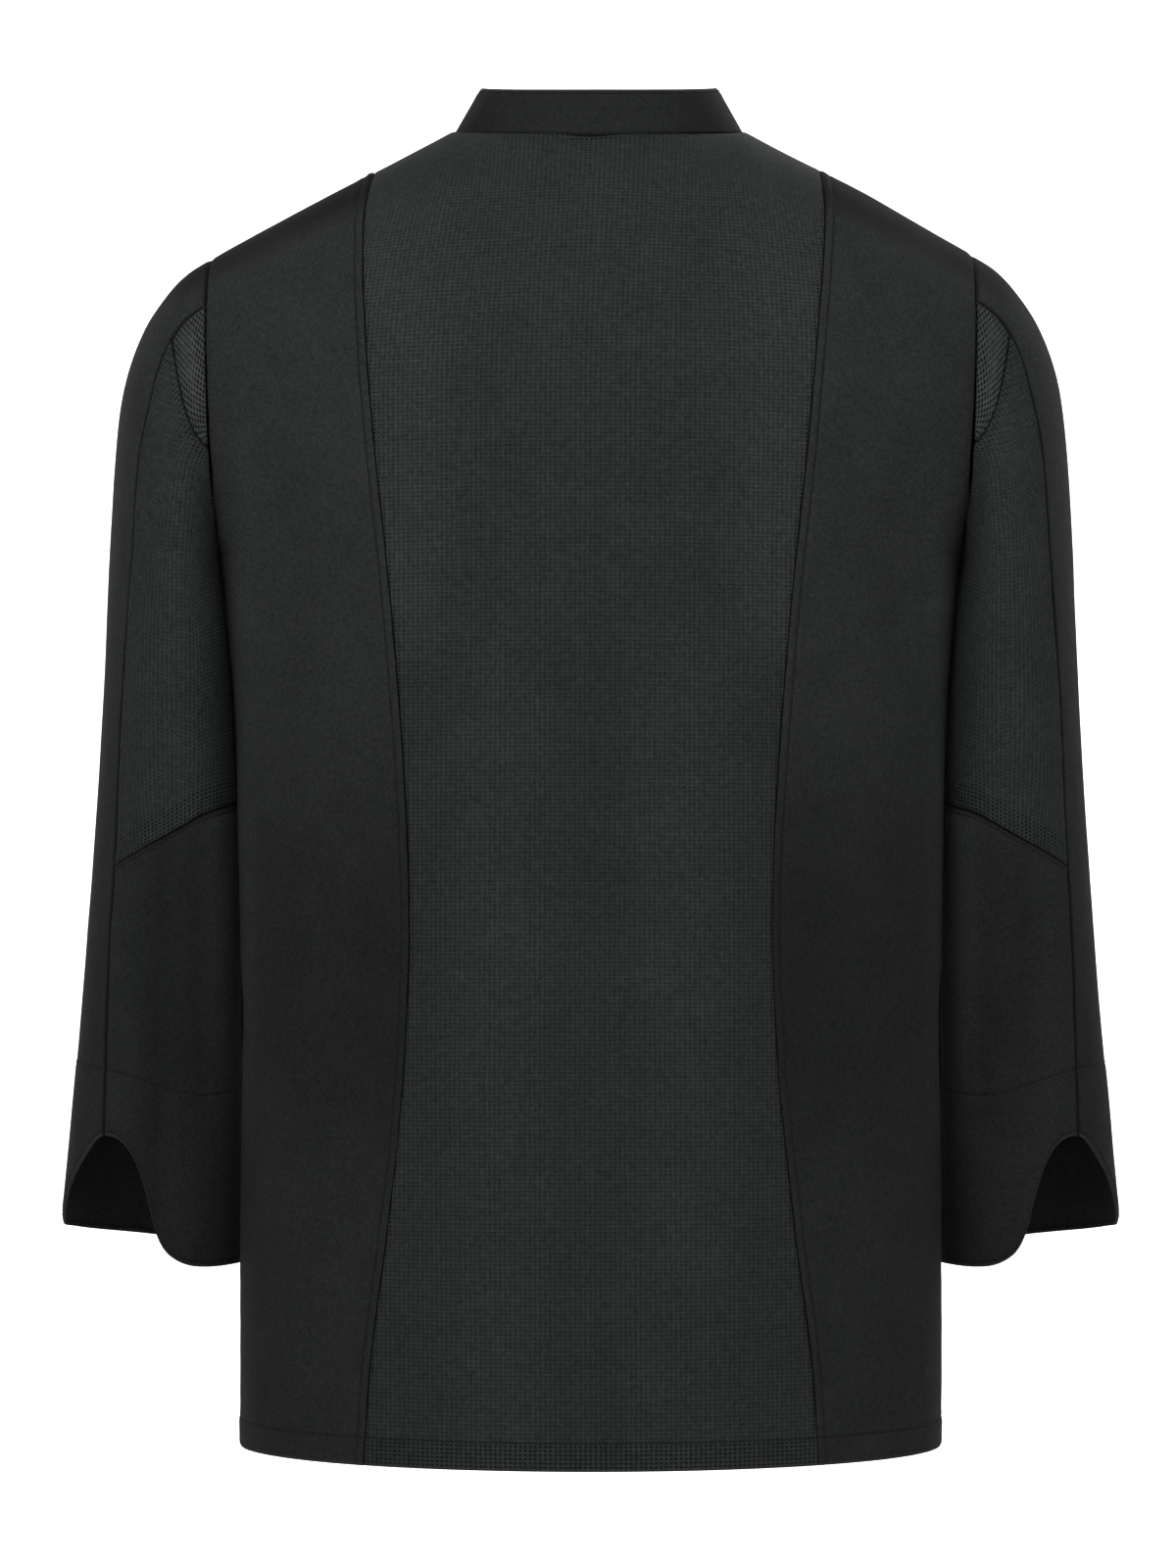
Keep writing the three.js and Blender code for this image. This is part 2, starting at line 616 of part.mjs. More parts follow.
// A sleeve panel between two angles and two limits along the sleeve
function sleevePanel(fromAngle, toAngle, startAlong, endAlong, columns, rows, raise) {
  const surface = (across, up) => {
    const angle = mix(fromAngle, toAngle, across);
    return sleevePoint(mix(endAlong(angle), startAlong(angle), up), angle);
  };
  return clothPanel(surface, columns, rows, CLOTH_WALL, raise);
}

// The angles of the gusset's columns, from the back seam almost to its tip
function gussetAngles() {
  const places = [...evenPlaces(SLEEVE_COLUMNS.gusset).slice(0, -1), GUSSET_TIP_PLACE];
  return places.map((place) => mix(BACK_SEAM_ANGLE, GUSSET_TIP_ANGLE, place));
}

// The places of angles across a panel that runs from the back seam to a last angle
function placesOfAngles(angles, lastAngle) {
  return angles.map((angle) => (angle - BACK_SEAM_ANGLE) / (lastAngle - BACK_SEAM_ANGLE));
}

// The columns of both back pieces: those of the gusset, then even ones to the underarm seam
function backColumns() {
  const beyond = evenPlaces(SLEEVE_COLUMNS.beyondGusset);
  const rest = beyond.map((place) => mix(GUSSET_TIP_ANGLE, UNDERARM_SEAM_ANGLE, place));
  return placesOfAngles([...gussetAngles(), ...rest], UNDERARM_SEAM_ANGLE);
}

// The rows of the outer sleeve meet those of the back pieces along the back seam
function outerRowPlaces() {
  const limits = [0, gussetAlong(BACK_SEAM_ANGLE), elbowAlong(BACK_SEAM_ANGLE), cuffAlong(BACK_SEAM_ANGLE)];
  const counts = [SLEEVE_ROWS.gusset, SLEEVE_ROWS.upperBack, SLEEVE_ROWS.lowerBack];
  const alongs = counts.flatMap((count, band) => evenPlaces(count).slice(band === 0 ? 0 : 1)
    .map((place) => mix(limits[band], limits[band + 1], place)));
  return alongs.map((along) => 1 - along / limits[3]).reverse();
}

function sleeves() {
  const fullTurn = 360;
  const outerEnd = UNDERARM_SEAM_ANGLE + fullTurn;
  const outer = sleevePanel(
    outerEnd, BACK_SEAM_ANGLE, () => 0, cuffAlong,
    outerColumns(outerEnd), outerRowPlaces(),
  );
  const upperBack = sleevePanel(
    BACK_SEAM_ANGLE, UNDERARM_SEAM_ANGLE, gussetAlong, elbowAlong,
    backColumns(), evenPlaces(SLEEVE_ROWS.upperBack),
  );
  const lowerBack = sleevePanel(
    BACK_SEAM_ANGLE, UNDERARM_SEAM_ANGLE, elbowAlong, cuffAlong,
    backColumns(), evenPlaces(SLEEVE_ROWS.lowerBack),
  );
  const angles = gussetAngles();
  const gusset = sleevePanel(
    BACK_SEAM_ANGLE, angles.at(-1), () => 0, gussetAlong,
    placesOfAngles(angles, angles.at(-1)), evenPlaces(SLEEVE_ROWS.gusset),
    (across, up) => -GUSSET_SINK * (1 - up),
  );
  return [
    ...mirroredPair('sleeve_left_outer', 'sleeve_right_outer', outer, TWILL),
    ...mirroredPair('sleeve_left_upper_back', 'sleeve_right_upper_back', upperBack, MESH_CLOTH),
    ...mirroredPair('sleeve_left_lower_back', 'sleeve_right_lower_back', lowerBack, TWILL),
    ...mirroredPair('sleeve_left_gusset', 'sleeve_right_gusset', gusset, OPEN_MESH_CLOTH),
  ];
}

// The columns of the outer sleeve are closer where the cuff notch is cut
function outerColumns(outerEnd) {
  const notchSide = (outerEnd - NOTCH_START_ANGLE) / (outerEnd - BACK_SEAM_ANGLE);
  const wide = evenPlaces(SLEEVE_COLUMNS.outerWide).slice(0, -1).map((place) => place * notchSide);
  return [...wide, ...evenPlaces(SLEEVE_COLUMNS.outerNotch).map((place) => mix(notchSide, 1, place))];
}

// Buttons stand just off the overlapping front, facing out of it
function buttons() {
  const x = OVERLAP_EDGE + BUTTON.insetX;
  const standOff = OVERLAP_RAISE + SEAM_GAP + BUTTON.thickness / 2;
  return evenPlaces(BUTTON.count - 1).map((place, index) => {
    const height = mix(BUTTON.firstZ, BUTTON.lastZ, place);
    const rowAt = (row) => bodyPoint(false, columnAt(false, row, () => -x), row).z - height;
    const row = solve(rowAt, 0, 3);
    const surface = (across, up) => {
      const nearRow = row + up - 0.5;
      return bodyPoint(false, columnAt(false, nearRow, () => -x - across + 0.5), nearRow);
    };
    const point = surface(0.5, 0.5);
    point.x = -point.x;
    const normal = surfaceNormal(surface, 0.5, 0.5);
    normal.x = -normal.x;
    if (normal.y > 0) normal.negate();
    const geometry = new THREE.CylinderGeometry(BUTTON.radius, BUTTON.radius, BUTTON.thickness, BUTTON.sides);
    const mesh = namedMesh(`button_${index + 1}`, geometry, BUTTON_PLASTIC);
    mesh.quaternion.setFromUnitVectors(new THREE.Vector3(0, 1, 0), normal);
    mesh.position.copy(point).addScaledVector(normal, standOff);
    return mesh;
  });
}

const jacket = new THREE.Group();
jacket.add(...backCentre(), ...sideBacks(), ...fronts(), ...collar(), ...sleeves(), ...buttons());

export default jacket;
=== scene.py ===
import logging
import math
from dataclasses import dataclass, field, replace
from enum import Enum
from typing import Any, Callable, NamedTuple, Optional, Sequence

import bpy
import numpy as np
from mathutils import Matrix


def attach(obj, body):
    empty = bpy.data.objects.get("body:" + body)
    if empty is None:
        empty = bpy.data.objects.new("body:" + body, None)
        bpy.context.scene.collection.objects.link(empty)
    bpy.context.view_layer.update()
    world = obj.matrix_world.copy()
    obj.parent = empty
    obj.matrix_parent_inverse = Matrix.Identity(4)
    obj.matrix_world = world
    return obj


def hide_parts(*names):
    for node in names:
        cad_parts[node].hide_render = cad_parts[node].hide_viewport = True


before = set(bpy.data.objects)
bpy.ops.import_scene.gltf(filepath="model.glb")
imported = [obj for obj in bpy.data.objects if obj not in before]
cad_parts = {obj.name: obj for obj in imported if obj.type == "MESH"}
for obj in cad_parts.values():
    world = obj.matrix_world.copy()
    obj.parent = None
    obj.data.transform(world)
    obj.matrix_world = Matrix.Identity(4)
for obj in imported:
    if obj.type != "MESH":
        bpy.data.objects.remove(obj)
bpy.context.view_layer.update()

LOG = logging.getLogger("chef_jacket")
BODY = "root"
MM = 0.001
FAR = 0.05


def millimetres(*lengths: float) -> tuple[float, ...]:
    """Return lengths that are given in millimetres in metres."""
    return tuple(length * MM for length in lengths)


# Cloth
CLOTH_WALL = 1.7 * MM
COLLAR_WALL = 2.4 * MM
SEAM_INSET = 0.12 * MM
ACROSS_STEP = 4.6 * MM
UP_STEP = 3.2 * MM
FINE_STEP = 2.0 * MM
EDGE_STEPS = millimetres(0.35, 0.8, 1.5, 2.4, 3.6)
TOPSTITCH_STEPS = millimetres(0.35, 0.8, 1.5, 2.1, 2.6, 3.1, 3.8, 4.3, 4.7, 5.1, 5.6, 6.4, 8.0)
HEM_STEPS = millimetres(0.35, 0.8, 1.5, 3, 5.5, 8, 10.5, 12.4, 13.6, 14.4, 15, 15.6, 16.4, 17.6, 20)

# Painted shade in seams and along stitching, and a painted highlight on folded edges: their colours, where
# each fades out, and how strong it is
PAINTED_SHADE_BLACK = (0.0016, 0.0017, 0.0017, 1.0)
PAINTED_HIGHLIGHT_GREY = (0.034, 0.036, 0.036, 1.0)
HIGHLIGHT_FADE = millimetres(0.8, 2.0)
HIGHLIGHT_SHARE = 0.55
SEAM_SHADE_FADE = millimetres(0.1, 0.8)
SEAM_SHADE_SHARE = 0.74
STITCH_SHADE_FADE = millimetres(0.3, 0.9)
STITCH_SHADE_SHARE = 0.36

# The shoulder seam's line from behind: its height in the middle, and its fall for each metre outwards
SHOULDER_RISE = 0.0281
SHOULDER_SLOPE = 0.46

# Random waves
NOISE_POINTS = 4096
NOISE_OFFSET = 1000.0
HALVINGS = 32

# Creases: how they waver, how their width and depth change along them, and where they stop
WAVER_SHARE = 0.25
WAVER_LENGTH = 0.028
WAVER_SEEDS = 997
CREASE_WIDTHS = (0.65, 0.5)
CREASE_FADE_POWER = 0.8
CREASE_UNEVEN_SHARE = 0.2
CREASE_UNEVEN_LENGTH = 0.019
CREASE_UNEVEN_SEED = 31
CREASE_FACING = 0.4
CREASE_SHIFT = 0.009
CREASE_SCALE = 0.3

# Camera
CAMERA_DISTANCE = 3.0
CAMERA_HEIGHT = -0.367
CAMERA_SIDE = 0.00165


class BodySection(NamedTuple):
    """One level section of the body, in metres."""

    height: float
    half_width: float
    seam_y: float
    back_y: float
    back_widest_y: float
    front_y: float
    front_widest_y: float


BODY_SECTIONS = (
    BodySection(-0.7355, 0.1958, 0.010, 0.1395, 0.014, -0.122, 0.010),
    BodySection(-0.640, 0.1957, 0.012, 0.132, 0.016, -0.121, 0.012),
    BodySection(-0.548, 0.1946, 0.014, 0.126, 0.018, -0.120, 0.014),
    BodySection(-0.470, 0.1937, 0.015, 0.121, 0.020, -0.120, 0.015),
    BodySection(-0.378, 0.1955, 0.012, 0.118, 0.020, -0.121, 0.012),
    BodySection(-0.325, 0.1970, 0.005, 0.117, 0.016, -0.122, 0.002),
    BodySection(-0.280, 0.2017, -0.002, 0.117, 0.011, -0.122, -0.004),
    BodySection(-0.257, 0.2044, -0.006, 0.117, 0.007, -0.122, -0.008),
    BodySection(-0.240, 0.2072, -0.008, 0.117, 0.004, -0.122, -0.011),
    BodySection(-0.156, 0.2250, -0.008, 0.116, 0.004, -0.119, -0.011),
)


class Knot(NamedTuple):
    """A value at one place of a smooth curve."""

    place: float
    value: float


def curve(*pairs: tuple[float, float]) -> tuple[Knot, ...]:
    """Return a curve through pairs of a place and its value, at rising places."""
    return tuple(Knot(*pair) for pair in pairs)


# How far the centre back's seam runs from the middle, by height
BACK_SEAM = curve(
    (-0.7355, 0.123), (-0.680, 0.1195), (-0.610, 0.1105), (-0.520, 0.1015), (-0.425, 0.099),
    (-0.290, 0.107), (-0.170, 0.119), (-0.060, 0.127), (-0.025, 0.125),
)


class Drape(NamedTuple):
    """A soft upright drape of the back, a trough where its depth is below zero."""

    x: float
    reach: float
    top: float
    bottom: float
    depth: float


BACK_DRAPES = (
    Drape(0.128, 0.017, -0.400, -0.640, -0.003),
    Drape(0.168, 0.015, -0.360, -0.735, 0.0024),
    Drape(0.060, 0.026, -0.420, -0.735, 0.0016),
    Drape(0.000, 0.022, -0.480, -0.735, -0.0015),
    Drape(0.170, 0.016, -0.150, -0.330, -0.0022),
)


class SleeveSection(NamedTuple):
    """One slanted section of the sleeve, between its outer and its inner guide."""

    along: float
    outer_x: float
    outer_z: float
    inner_x: float
    inner_z: float
    middle_y: float
    half_depth: float


SLEEVE_SECTIONS = (
    SleeveSection(0.00, 0.2130, -0.0720, 0.2060, -0.240, -0.008, 0.064),
    SleeveSection(0.03, 0.2262, -0.0805, 0.2063, -0.246, -0.008, 0.065),
    SleeveSection(0.06, 0.2370, -0.0916, 0.2058, -0.254, -0.008, 0.066),
    SleeveSection(0.10, 0.2503, -0.1110, 0.2040, -0.268, -0.009, 0.067),
    SleeveSection(0.15, 0.2604, -0.1370, 0.2013, -0.288, -0.010, 0.068),
    SleeveSection(0.20, 0.2657, -0.1650, 0.1992, -0.308, -0.012, 0.068),
    SleeveSection(0.30, 0.2700, -0.2210, 0.1970, -0.348, -0.015, 0.066),
    SleeveSection(0.45, 0.2744, -0.3055, 0.1944, -0.405, -0.020, 0.063),
    SleeveSection(0.60, 0.2800, -0.3910, 0.1934, -0.464, -0.027, 0.059),
    SleeveSection(0.80, 0.2895, -0.5035, 0.1934, -0.548, -0.036, 0.053),
    SleeveSection(1.00, 0.3010, -0.6175, 0.1936, -0.636, -0.045, 0.048),
    SleeveSection(1.10, 0.3065, -0.6745, 0.1938, -0.680, -0.049, 0.046),
)

# By how many degrees the sleeve's back seam leaves its own angle, by the place along the sleeve
BACK_SEAM_DRIFT = curve(
    (0.00, 0.0), (0.06, 0.0), (0.12, -6.0), (0.18, -7.0), (0.30, -4.5), (0.45, 1.0), (0.60, 1.0),
    (0.74, 0.0), (0.92, -6.0), (1.10, -7.0),
)

# The height of the elbow seam and of the cuff's edge, by the angle round the sleeve
ELBOW_SEAM = curve(
    (-70, -0.378), (-30, -0.384), (0, -0.396), (40, -0.413),
)
CUFF_EDGE = curve(
    (-70, -0.638), (-29, -0.6385), (-12, -0.633), (-2, -0.622), (7, -0.598), (15, -0.580), (25, -0.5685),
    (36, -0.5645), (46, -0.5665), (57, -0.577), (72, -0.592), (82, -0.604), (90, -0.613), (98, -0.618),
    (112, -0.620), (135, -0.623), (180, -0.628), (235, -0.635), (290, -0.638),
)


class Cloth(Enum):
    """The cloths and the hard finish of the jacket, named as in the record."""

    TWILL = "twill"
    MESH = "mesh_cloth"
    OPEN_MESH = "open_mesh"
    BUTTON = "button_plastic"


MIRROR = np.array([-1.0, 1.0, 1.0])
Array = np.ndarray
Surface = Callable[[Array, Array], Array]
Limit = Callable[[Array], Array]
Layers = dict[str, Array]
Point = tuple[float, float]

# The points of a line on the cloth and the outward direction at each
Line = tuple[Array, Array]

# Where a soft step begins and ends, and for a band also how soft its ends are
Range = tuple[float, ...]


def mix(start: Any, end: Any, share: Any) -> Any:
    """Return the value that lies a share of the way from start to end."""
    return start + (end - start) * share


def smooth(value: Any) -> Array:
    """Return a soft step from 0 to 1 over values from 0 to 1."""
    held = np.clip(value, 0.0, 1.0)
    return held * held * (3.0 - 2.0 * held)


def bump(distance: Array, reach: float) -> Array:
    """Return a soft hill that is 1 at distance 0 and fades over its reach."""
    return np.exp(-(distance / reach) ** 2)


def vectors(x: Array, y: Array, z: Array) -> Array:
    """Stack three arrays of coordinates into one array of points."""
    return np.stack(np.broadcast_arrays(x, y, z), axis=-1)


def hermite(start: Any, end: Any, start_slope: Any, end_slope: Any, share: Any) -> Any:
    """Return a point of a smooth curve between two values, which starts and ends at the given slopes.

    Args:
        start: The first value.
        end: The last value.
        start_slope: The slope at the first value, for the whole share.
        end_slope: The slope at the last value, for the whole share.
        share: How far along the curve the point lies, from 0 to 1.

    Returns:
        The value there.
    """
    square, cube = share**2, share**3
    ends = start * (2 * cube - 3 * square + 1) + end * (3 * square - 2 * cube)
    return ends + start_slope * (cube - 2 * square + share) + end_slope * (cube - square)


def read_table(rows: Sequence[NamedTuple], column: str, place: Array) -> Array:
    """Read one column of a table as a smooth curve.

    Args:
        rows: The table, whose first column is the rising place of each row.
        column: The name of the column to read.
        place: The places to read it at.

    Returns:
        The column's value at each place, carried on straight past the ends.
    """
    keys = np.array([row[0] for row in rows])
    values = np.array([getattr(row, column) for row in rows])
    last = len(keys) - 1
    before = np.clip(np.arange(last + 1) - 1, 0, last)
    after = np.clip(np.arange(last + 1) + 1, 0, last)
    tangents = (values[after] - values[before]) / (keys[after] - keys[before])
    place = np.asarray(place, dtype=float)
    index = np.clip(np.searchsorted(keys, place, side="right") - 1, 0, last - 1)
    span = keys[index + 1] - keys[index]
    share = (place - keys[index]) / span
    held = np.clip(share, 0.0, 1.0)
    start_slope, end_slope = tangents[index] * span, tangents[index + 1] * span
    inside = hermite(values[index], values[index + 1], start_slope, end_slope, held)
    beyond = np.where(share < 0, tangents[index], tangents[index + 1])
    return inside + beyond * (share - held) * span


def solve(measure: Callable[[Array], Array], low: Array, high: Array) -> Array:
    """Find where a steadily rising or falling measure crosses zero, by halving.

    Args:
        measure: The measure of an array of places.
        low: The lowest place of each search.
        high: The highest place of each search.

    Returns:
        The place of each crossing.
    """
    low = np.array(low, dtype=float)
    high = np.array(high, dtype=float)
    starts_below = measure(low) < 0
    for _ in range(HALVINGS):
        middle = (low + high) / 2
        keep = (measure(middle) < 0) == starts_below
        low = np.where(keep, middle, low)
        high = np.where(keep, high, middle)
    return (low + high) / 2


def soft_noise(places: Array, wavelength: float, seed: int) -> Array:
    """Return an uneven wave between about -1 and 1 that is the same in each run.

    Args:
        places: Where along a line to read it, in metres.
        wavelength: The distance between its random points, in metres.
        seed: Which of the waves this is.

    Returns:
        The height of the wave at each place.
    """
    randoms = np.random.RandomState(seed).uniform(-1.0, 1.0, NOISE_POINTS)
    steps = places / wavelength + NOISE_OFFSET
    index = np.floor(steps).astype(int)
    share = smooth(steps - index)
    return mix(randoms[index % NOISE_POINTS], randoms[(index + 1) % NOISE_POINTS], share)


@dataclass(frozen=True)
class RightLift:
    """How much higher the wearer's right shoulder stands than the left one."""

    height: float = 0.0029
    start_x: float = -0.100
    end_x: float = -0.160
    bottom_z: float = -0.330
    top_z: float = -0.150


def raised_right(points: Array, lift: RightLift = RightLift()) -> Array:
    """Return points with those of the wearer's right shoulder raised.

    Args:
        points: The points.
        lift: How much is raised, and where.

    Returns:
        New points.
    """
    across = (lift.start_x - points[..., 0]) / (lift.start_x - lift.end_x)
    up = (points[..., 2] - lift.bottom_z) / (lift.top_z - lift.bottom_z)
    raised = points.copy()
    raised[..., 2] += lift.height * smooth(across) * smooth(up)
    return raised


@dataclass(frozen=True)
class BodyForm:
    """The shape of the jacket's body: columns run from the middle to the side, rows from hem to shoulder."""

    armhole_x: float = 0.2095
    armhole_y: float = -0.008
    armhole_z: float = -0.156
    armhole_half_depth: float = 0.064
    armhole_half_height: float = 0.084
    armhole_back_swing: float = 0.002
    armhole_top_swing: float = 0.0035
    neck_half_width: float = 0.081
    neck_side_y: float = -0.012
    neck_back_y: float = 0.058
    neck_back_z: float = -0.008
    neck_front_y: float = -0.088
    neck_front_z: float = -0.072
    neck_column: float = 0.37
    neck_corner_spread: float = 0.2
    neck_shift: float = -0.0045
    back_neck_angle: float = 58.0
    front_neck_angle: float = 42.0
    edge_pull: int = 6
    shoulder_pull: int = 4

    @property
    def underarm(self) -> float:
        """Return the height of the underarm."""
        return self.armhole_z - self.armhole_half_height

    def armhole_point(self, angle: Array) -> Array:
        """Return a point of the armhole loop.

        Args:
            angle: The angle round it: 90 is the shoulder point, 0 the back, -90 the underarm.

        Returns:
            The point.
        """
        back, up = np.cos(np.radians(angle)), np.sin(np.radians(angle))
        return vectors(
            self.armhole_x + self.armhole_back_swing * back + self.armhole_top_swing * up,
            self.armhole_y + self.armhole_half_depth * back,
            self.armhole_z + self.armhole_half_height * up,
        )

    def neck_point(self, is_back: bool, angle: Array) -> Array:
        """Return a point of the neck opening: 0 is the middle of the back or front, 90 the side.

        Args:
            is_back: Whether the point is on the back half.
            angle: The angle round the neck.

        Returns:
            The point.
        """
        across, along = np.sin(np.radians(angle)), np.cos(np.radians(angle))
        end_y = self.neck_back_y if is_back else self.neck_front_y
        end_z = self.neck_back_z if is_back else self.neck_front_z
        return vectors(self.neck_half_width * across, mix(self.neck_side_y, end_y, along), end_z * along)

    def top_point(self, is_back: bool, column: Array) -> Array:
        """Return a point of the top edge: the neck opening, then the shoulder out to the armhole.

        Args:
            is_back: Whether the point is on the back half.
            column: The place along the edge, 0 in the middle and 1 at the armhole.

        Returns:
            The point.
        """
        neck = self.neck_point(is_back, 90 * np.clip(column / self.neck_column, 0, 1))
        share = np.clip((column - self.neck_column) / (1 - self.neck_column), 0, 1)[..., None]
        shoulder = mix(self.neck_point(is_back, np.array(90.0)), self.armhole_point(np.array(90.0)), share)
        return np.where((column <= self.neck_column)[..., None], neck, shoulder)

    def soft_top_point(self, is_back: bool, column: Array, rise: Array) -> Array:
        """Return the top edge as the rows below it feel it, with the neck's corner fading out downwards.

        Args:
            is_back: Whether the point is on the back half.
            column: The place along the edge, 0 in the middle and 1 at the armhole.
            rise: How far up the shoulder the row lies, from 0 to 1.

        Returns:
            The point.
        """
        spread_limit = self.neck_corner_spread
        room = np.minimum(1, np.minimum(column / spread_limit, (1 - column) / spread_limit))
        spread = spread_limit * (1 - rise) * room
        steps = (-1, -0.5, 0, 0.5, 1)
        return sum(self.top_point(is_back, column + step * spread) for step in steps) / len(steps)

    def half_section(self, is_back: bool, height: Array) -> tuple[Array, Array]:
        """Return the middle y and the widest y of a half section at a height.

        Args:
            is_back: Whether it is the back half.
            height: The height.

        Returns:
            The two values of y.
        """
        side = "back" if is_back else "front"
        return (
            read_table(BODY_SECTIONS, f"{side}_y", height),
            read_table(BODY_SECTIONS, f"{side}_widest_y", height),
        )

    def edge_angle(self, is_back: bool, edge: Array) -> Array:
        """Return the angle round a half section, from its middle, at which it reaches an edge."""
        middle_y, widest_y = self.half_section(is_back, edge[..., 2])
        return np.arccos((edge[..., 1] - widest_y) / (middle_y - widest_y))

    def width_through(self, is_back: bool, edge: Array) -> Array:
        """Return the half width of the ellipse through an edge."""
        return edge[..., 0] / np.sin(self.edge_angle(is_back, edge))

    def side_seam(self, height: Array) -> Array:
        """Return the side seam's place at a height below the underarm.

        Args:
            height: The heights.

        Returns:
            The points of the seam.
        """
        seam_y = read_table(BODY_SECTIONS, "seam_y", height)
        half_width = read_table(BODY_SECTIONS, "half_width", height)
        angle = self.edge_angle(True, vectors(half_width, seam_y, height))
        return vectors(half_width * np.sin(angle), seam_y, height)

    def row_half_width(self, is_back: bool, height: Array) -> Array:
        """Return the half width of a level row's ellipse, which grows evenly above the underarm.

        Args:
            is_back: Whether the point is on the back half.
            height: The row's height.

        Returns:
            The half width.
        """
        underarm = np.array(self.underarm)
        below = self.width_through(is_back, self.side_seam(np.minimum(height, underarm)))
        low = self.width_through(is_back, self.side_seam(underarm))
        lower = self.width_through(is_back, self.side_seam(underarm - MM))
        low_slope = (low - lower) * self.armhole_half_height / MM
        high = self.width_through(is_back, self.armhole_point(np.array(0.0 if is_back else 180.0)))
        share = np.clip((height - underarm) / self.armhole_half_height, 0, 1)
        above = hermite(low, high, low_slope, self.armhole_top_swing, share)
        return np.where(height <= underarm, below, above)

    def even_limit(self, is_back: bool, height: Array) -> Array:
        """Return the angle that a level row's columns spread over, which changes evenly with height.

        Args:
            is_back: Whether the point is on the back half.
            height: The row's height.

        Returns:
            The angle.
        """
        blade = self.armhole_point(np.array(0.0 if is_back else 180.0))
        low = self.side_seam(np.minimum(height, self.underarm))
        rise = smooth((height - self.underarm) / self.armhole_half_height)
        return mix(self.edge_angle(is_back, low), self.edge_angle(is_back, blade), rise)

    def level_point(self, is_back: bool, column: Array, edge: Array) -> Array:
        """Return a point of a level row, part of an ellipse that is drawn to the row's edge near its end.

        Args:
            is_back: Whether the row is on the back.
            column: The places along it, 0 at the middle and 1 at its edge.
            edge: The points of its edge.

        Returns:
            The points.
        """
        middle_y, widest_y = self.half_section(is_back, edge[..., 2])
        limit = self.edge_angle(is_back, edge)
        half_width = self.row_half_width(is_back, edge[..., 2])
        even = self.even_limit(is_back, edge[..., 2])
        angle = even * column + (limit - even) * column**self.edge_pull
        x = half_width * np.sin(angle) + (edge[..., 0] - half_width * np.sin(limit)) * column**self.edge_pull
        return vectors(x, mix(widest_y, middle_y, np.cos(angle)), edge[..., 2])

    def skirt_point(self, is_back: bool, column: Array, row: Array) -> Array:
        """Return a point between the hem and the underarm."""
        height = mix(BODY_SECTIONS[0].height, self.underarm, row)
        return self.level_point(is_back, column, self.side_seam(height))

    def armhole_row_point(self, is_back: bool, column: Array, row: Array) -> Array:
        """Return a point between the underarm and the shoulder blades."""
        angle = 90 * (row - 2)
        return self.level_point(is_back, column, self.armhole_point(angle if is_back else 180 - angle))

    def shoulder_point(self, is_back: bool, column: Array, rise: Array) -> Array:
        """Return a point between the shoulder blades and the top edge.

        Args:
            is_back: Whether the point is on the back half.
            column: The place along the row, 0 in the middle and 1 at the armhole.
            rise: How far up the row lies, from 0 to 1.

        Returns:
            The point.
        """
        blade = self.armhole_row_point(is_back, column, np.full_like(column, 2.0))
        top = self.soft_top_point(is_back, column, rise)
        neck_angle = self.back_neck_angle if is_back else self.front_neck_angle
        limit = np.radians(mix(neck_angle, 90, smooth(column / self.neck_column)))
        angle = limit * rise
        bow = (np.cos(angle) - np.cos(limit)) / (1 - np.cos(limit))
        lift = np.sin(angle) / np.sin(limit)
        armhole = self.armhole_point(90 * rise if is_back else 180 - 90 * rise)
        low_edge = self.armhole_point(np.array(0.0 if is_back else 180.0))[0]
        high_edge = self.armhole_point(np.array(90.0))[0]
        pull = (armhole[..., 0] - mix(low_edge, high_edge, rise)) * column**self.shoulder_pull
        return vectors(
            mix(blade[..., 0], top[..., 0], rise) + pull,
            mix(top[..., 1], blade[..., 1], bow),
            mix(blade[..., 2], top[..., 2], lift),
        )

    def plain_point(self, is_back: bool, column: Array, row: Array) -> Array:
        """Return a point of the wearer's left half, without drapes.

        Args:
            is_back: Whether the point is on the back half.
            column: The place along the row, 0 in the middle and 1 at the side.
            row: The row: 0 hem, 1 underarm, 2 shoulder blades, 3 top edge.

        Returns:
            The point.
        """
        column, row = np.broadcast_arrays(np.asarray(column, float), np.asarray(row, float))
        skirt = self.skirt_point(is_back, column, np.clip(row, 0, 1))
        middle = self.armhole_row_point(is_back, column, np.clip(row, 1, 2))
        shoulder = self.shoulder_point(is_back, column, np.clip(row - 2, 0, 1))
        low = np.where((row <= 1)[..., None], skirt, middle)
        return np.where((row <= 2)[..., None], low, shoulder)

    def drape_lift(self, x: Array, height: Array) -> Array:
        """Return how far the soft drapes lift the back at a place.

        Args:
            x: How far the place lies from the middle.
            height: The height of the place.

        Returns:
            The lift, in metres.
        """
        lift = np.zeros_like(x)
        for drape in BACK_DRAPES:
            across = (np.abs(x) - drape.x) / drape.reach
            down = np.clip((drape.top - height) / (drape.top - drape.bottom), 0, 1)
            lift = lift + drape.depth * np.exp(-(across**2)) * np.sin(np.pi * down) ** 2
        return lift

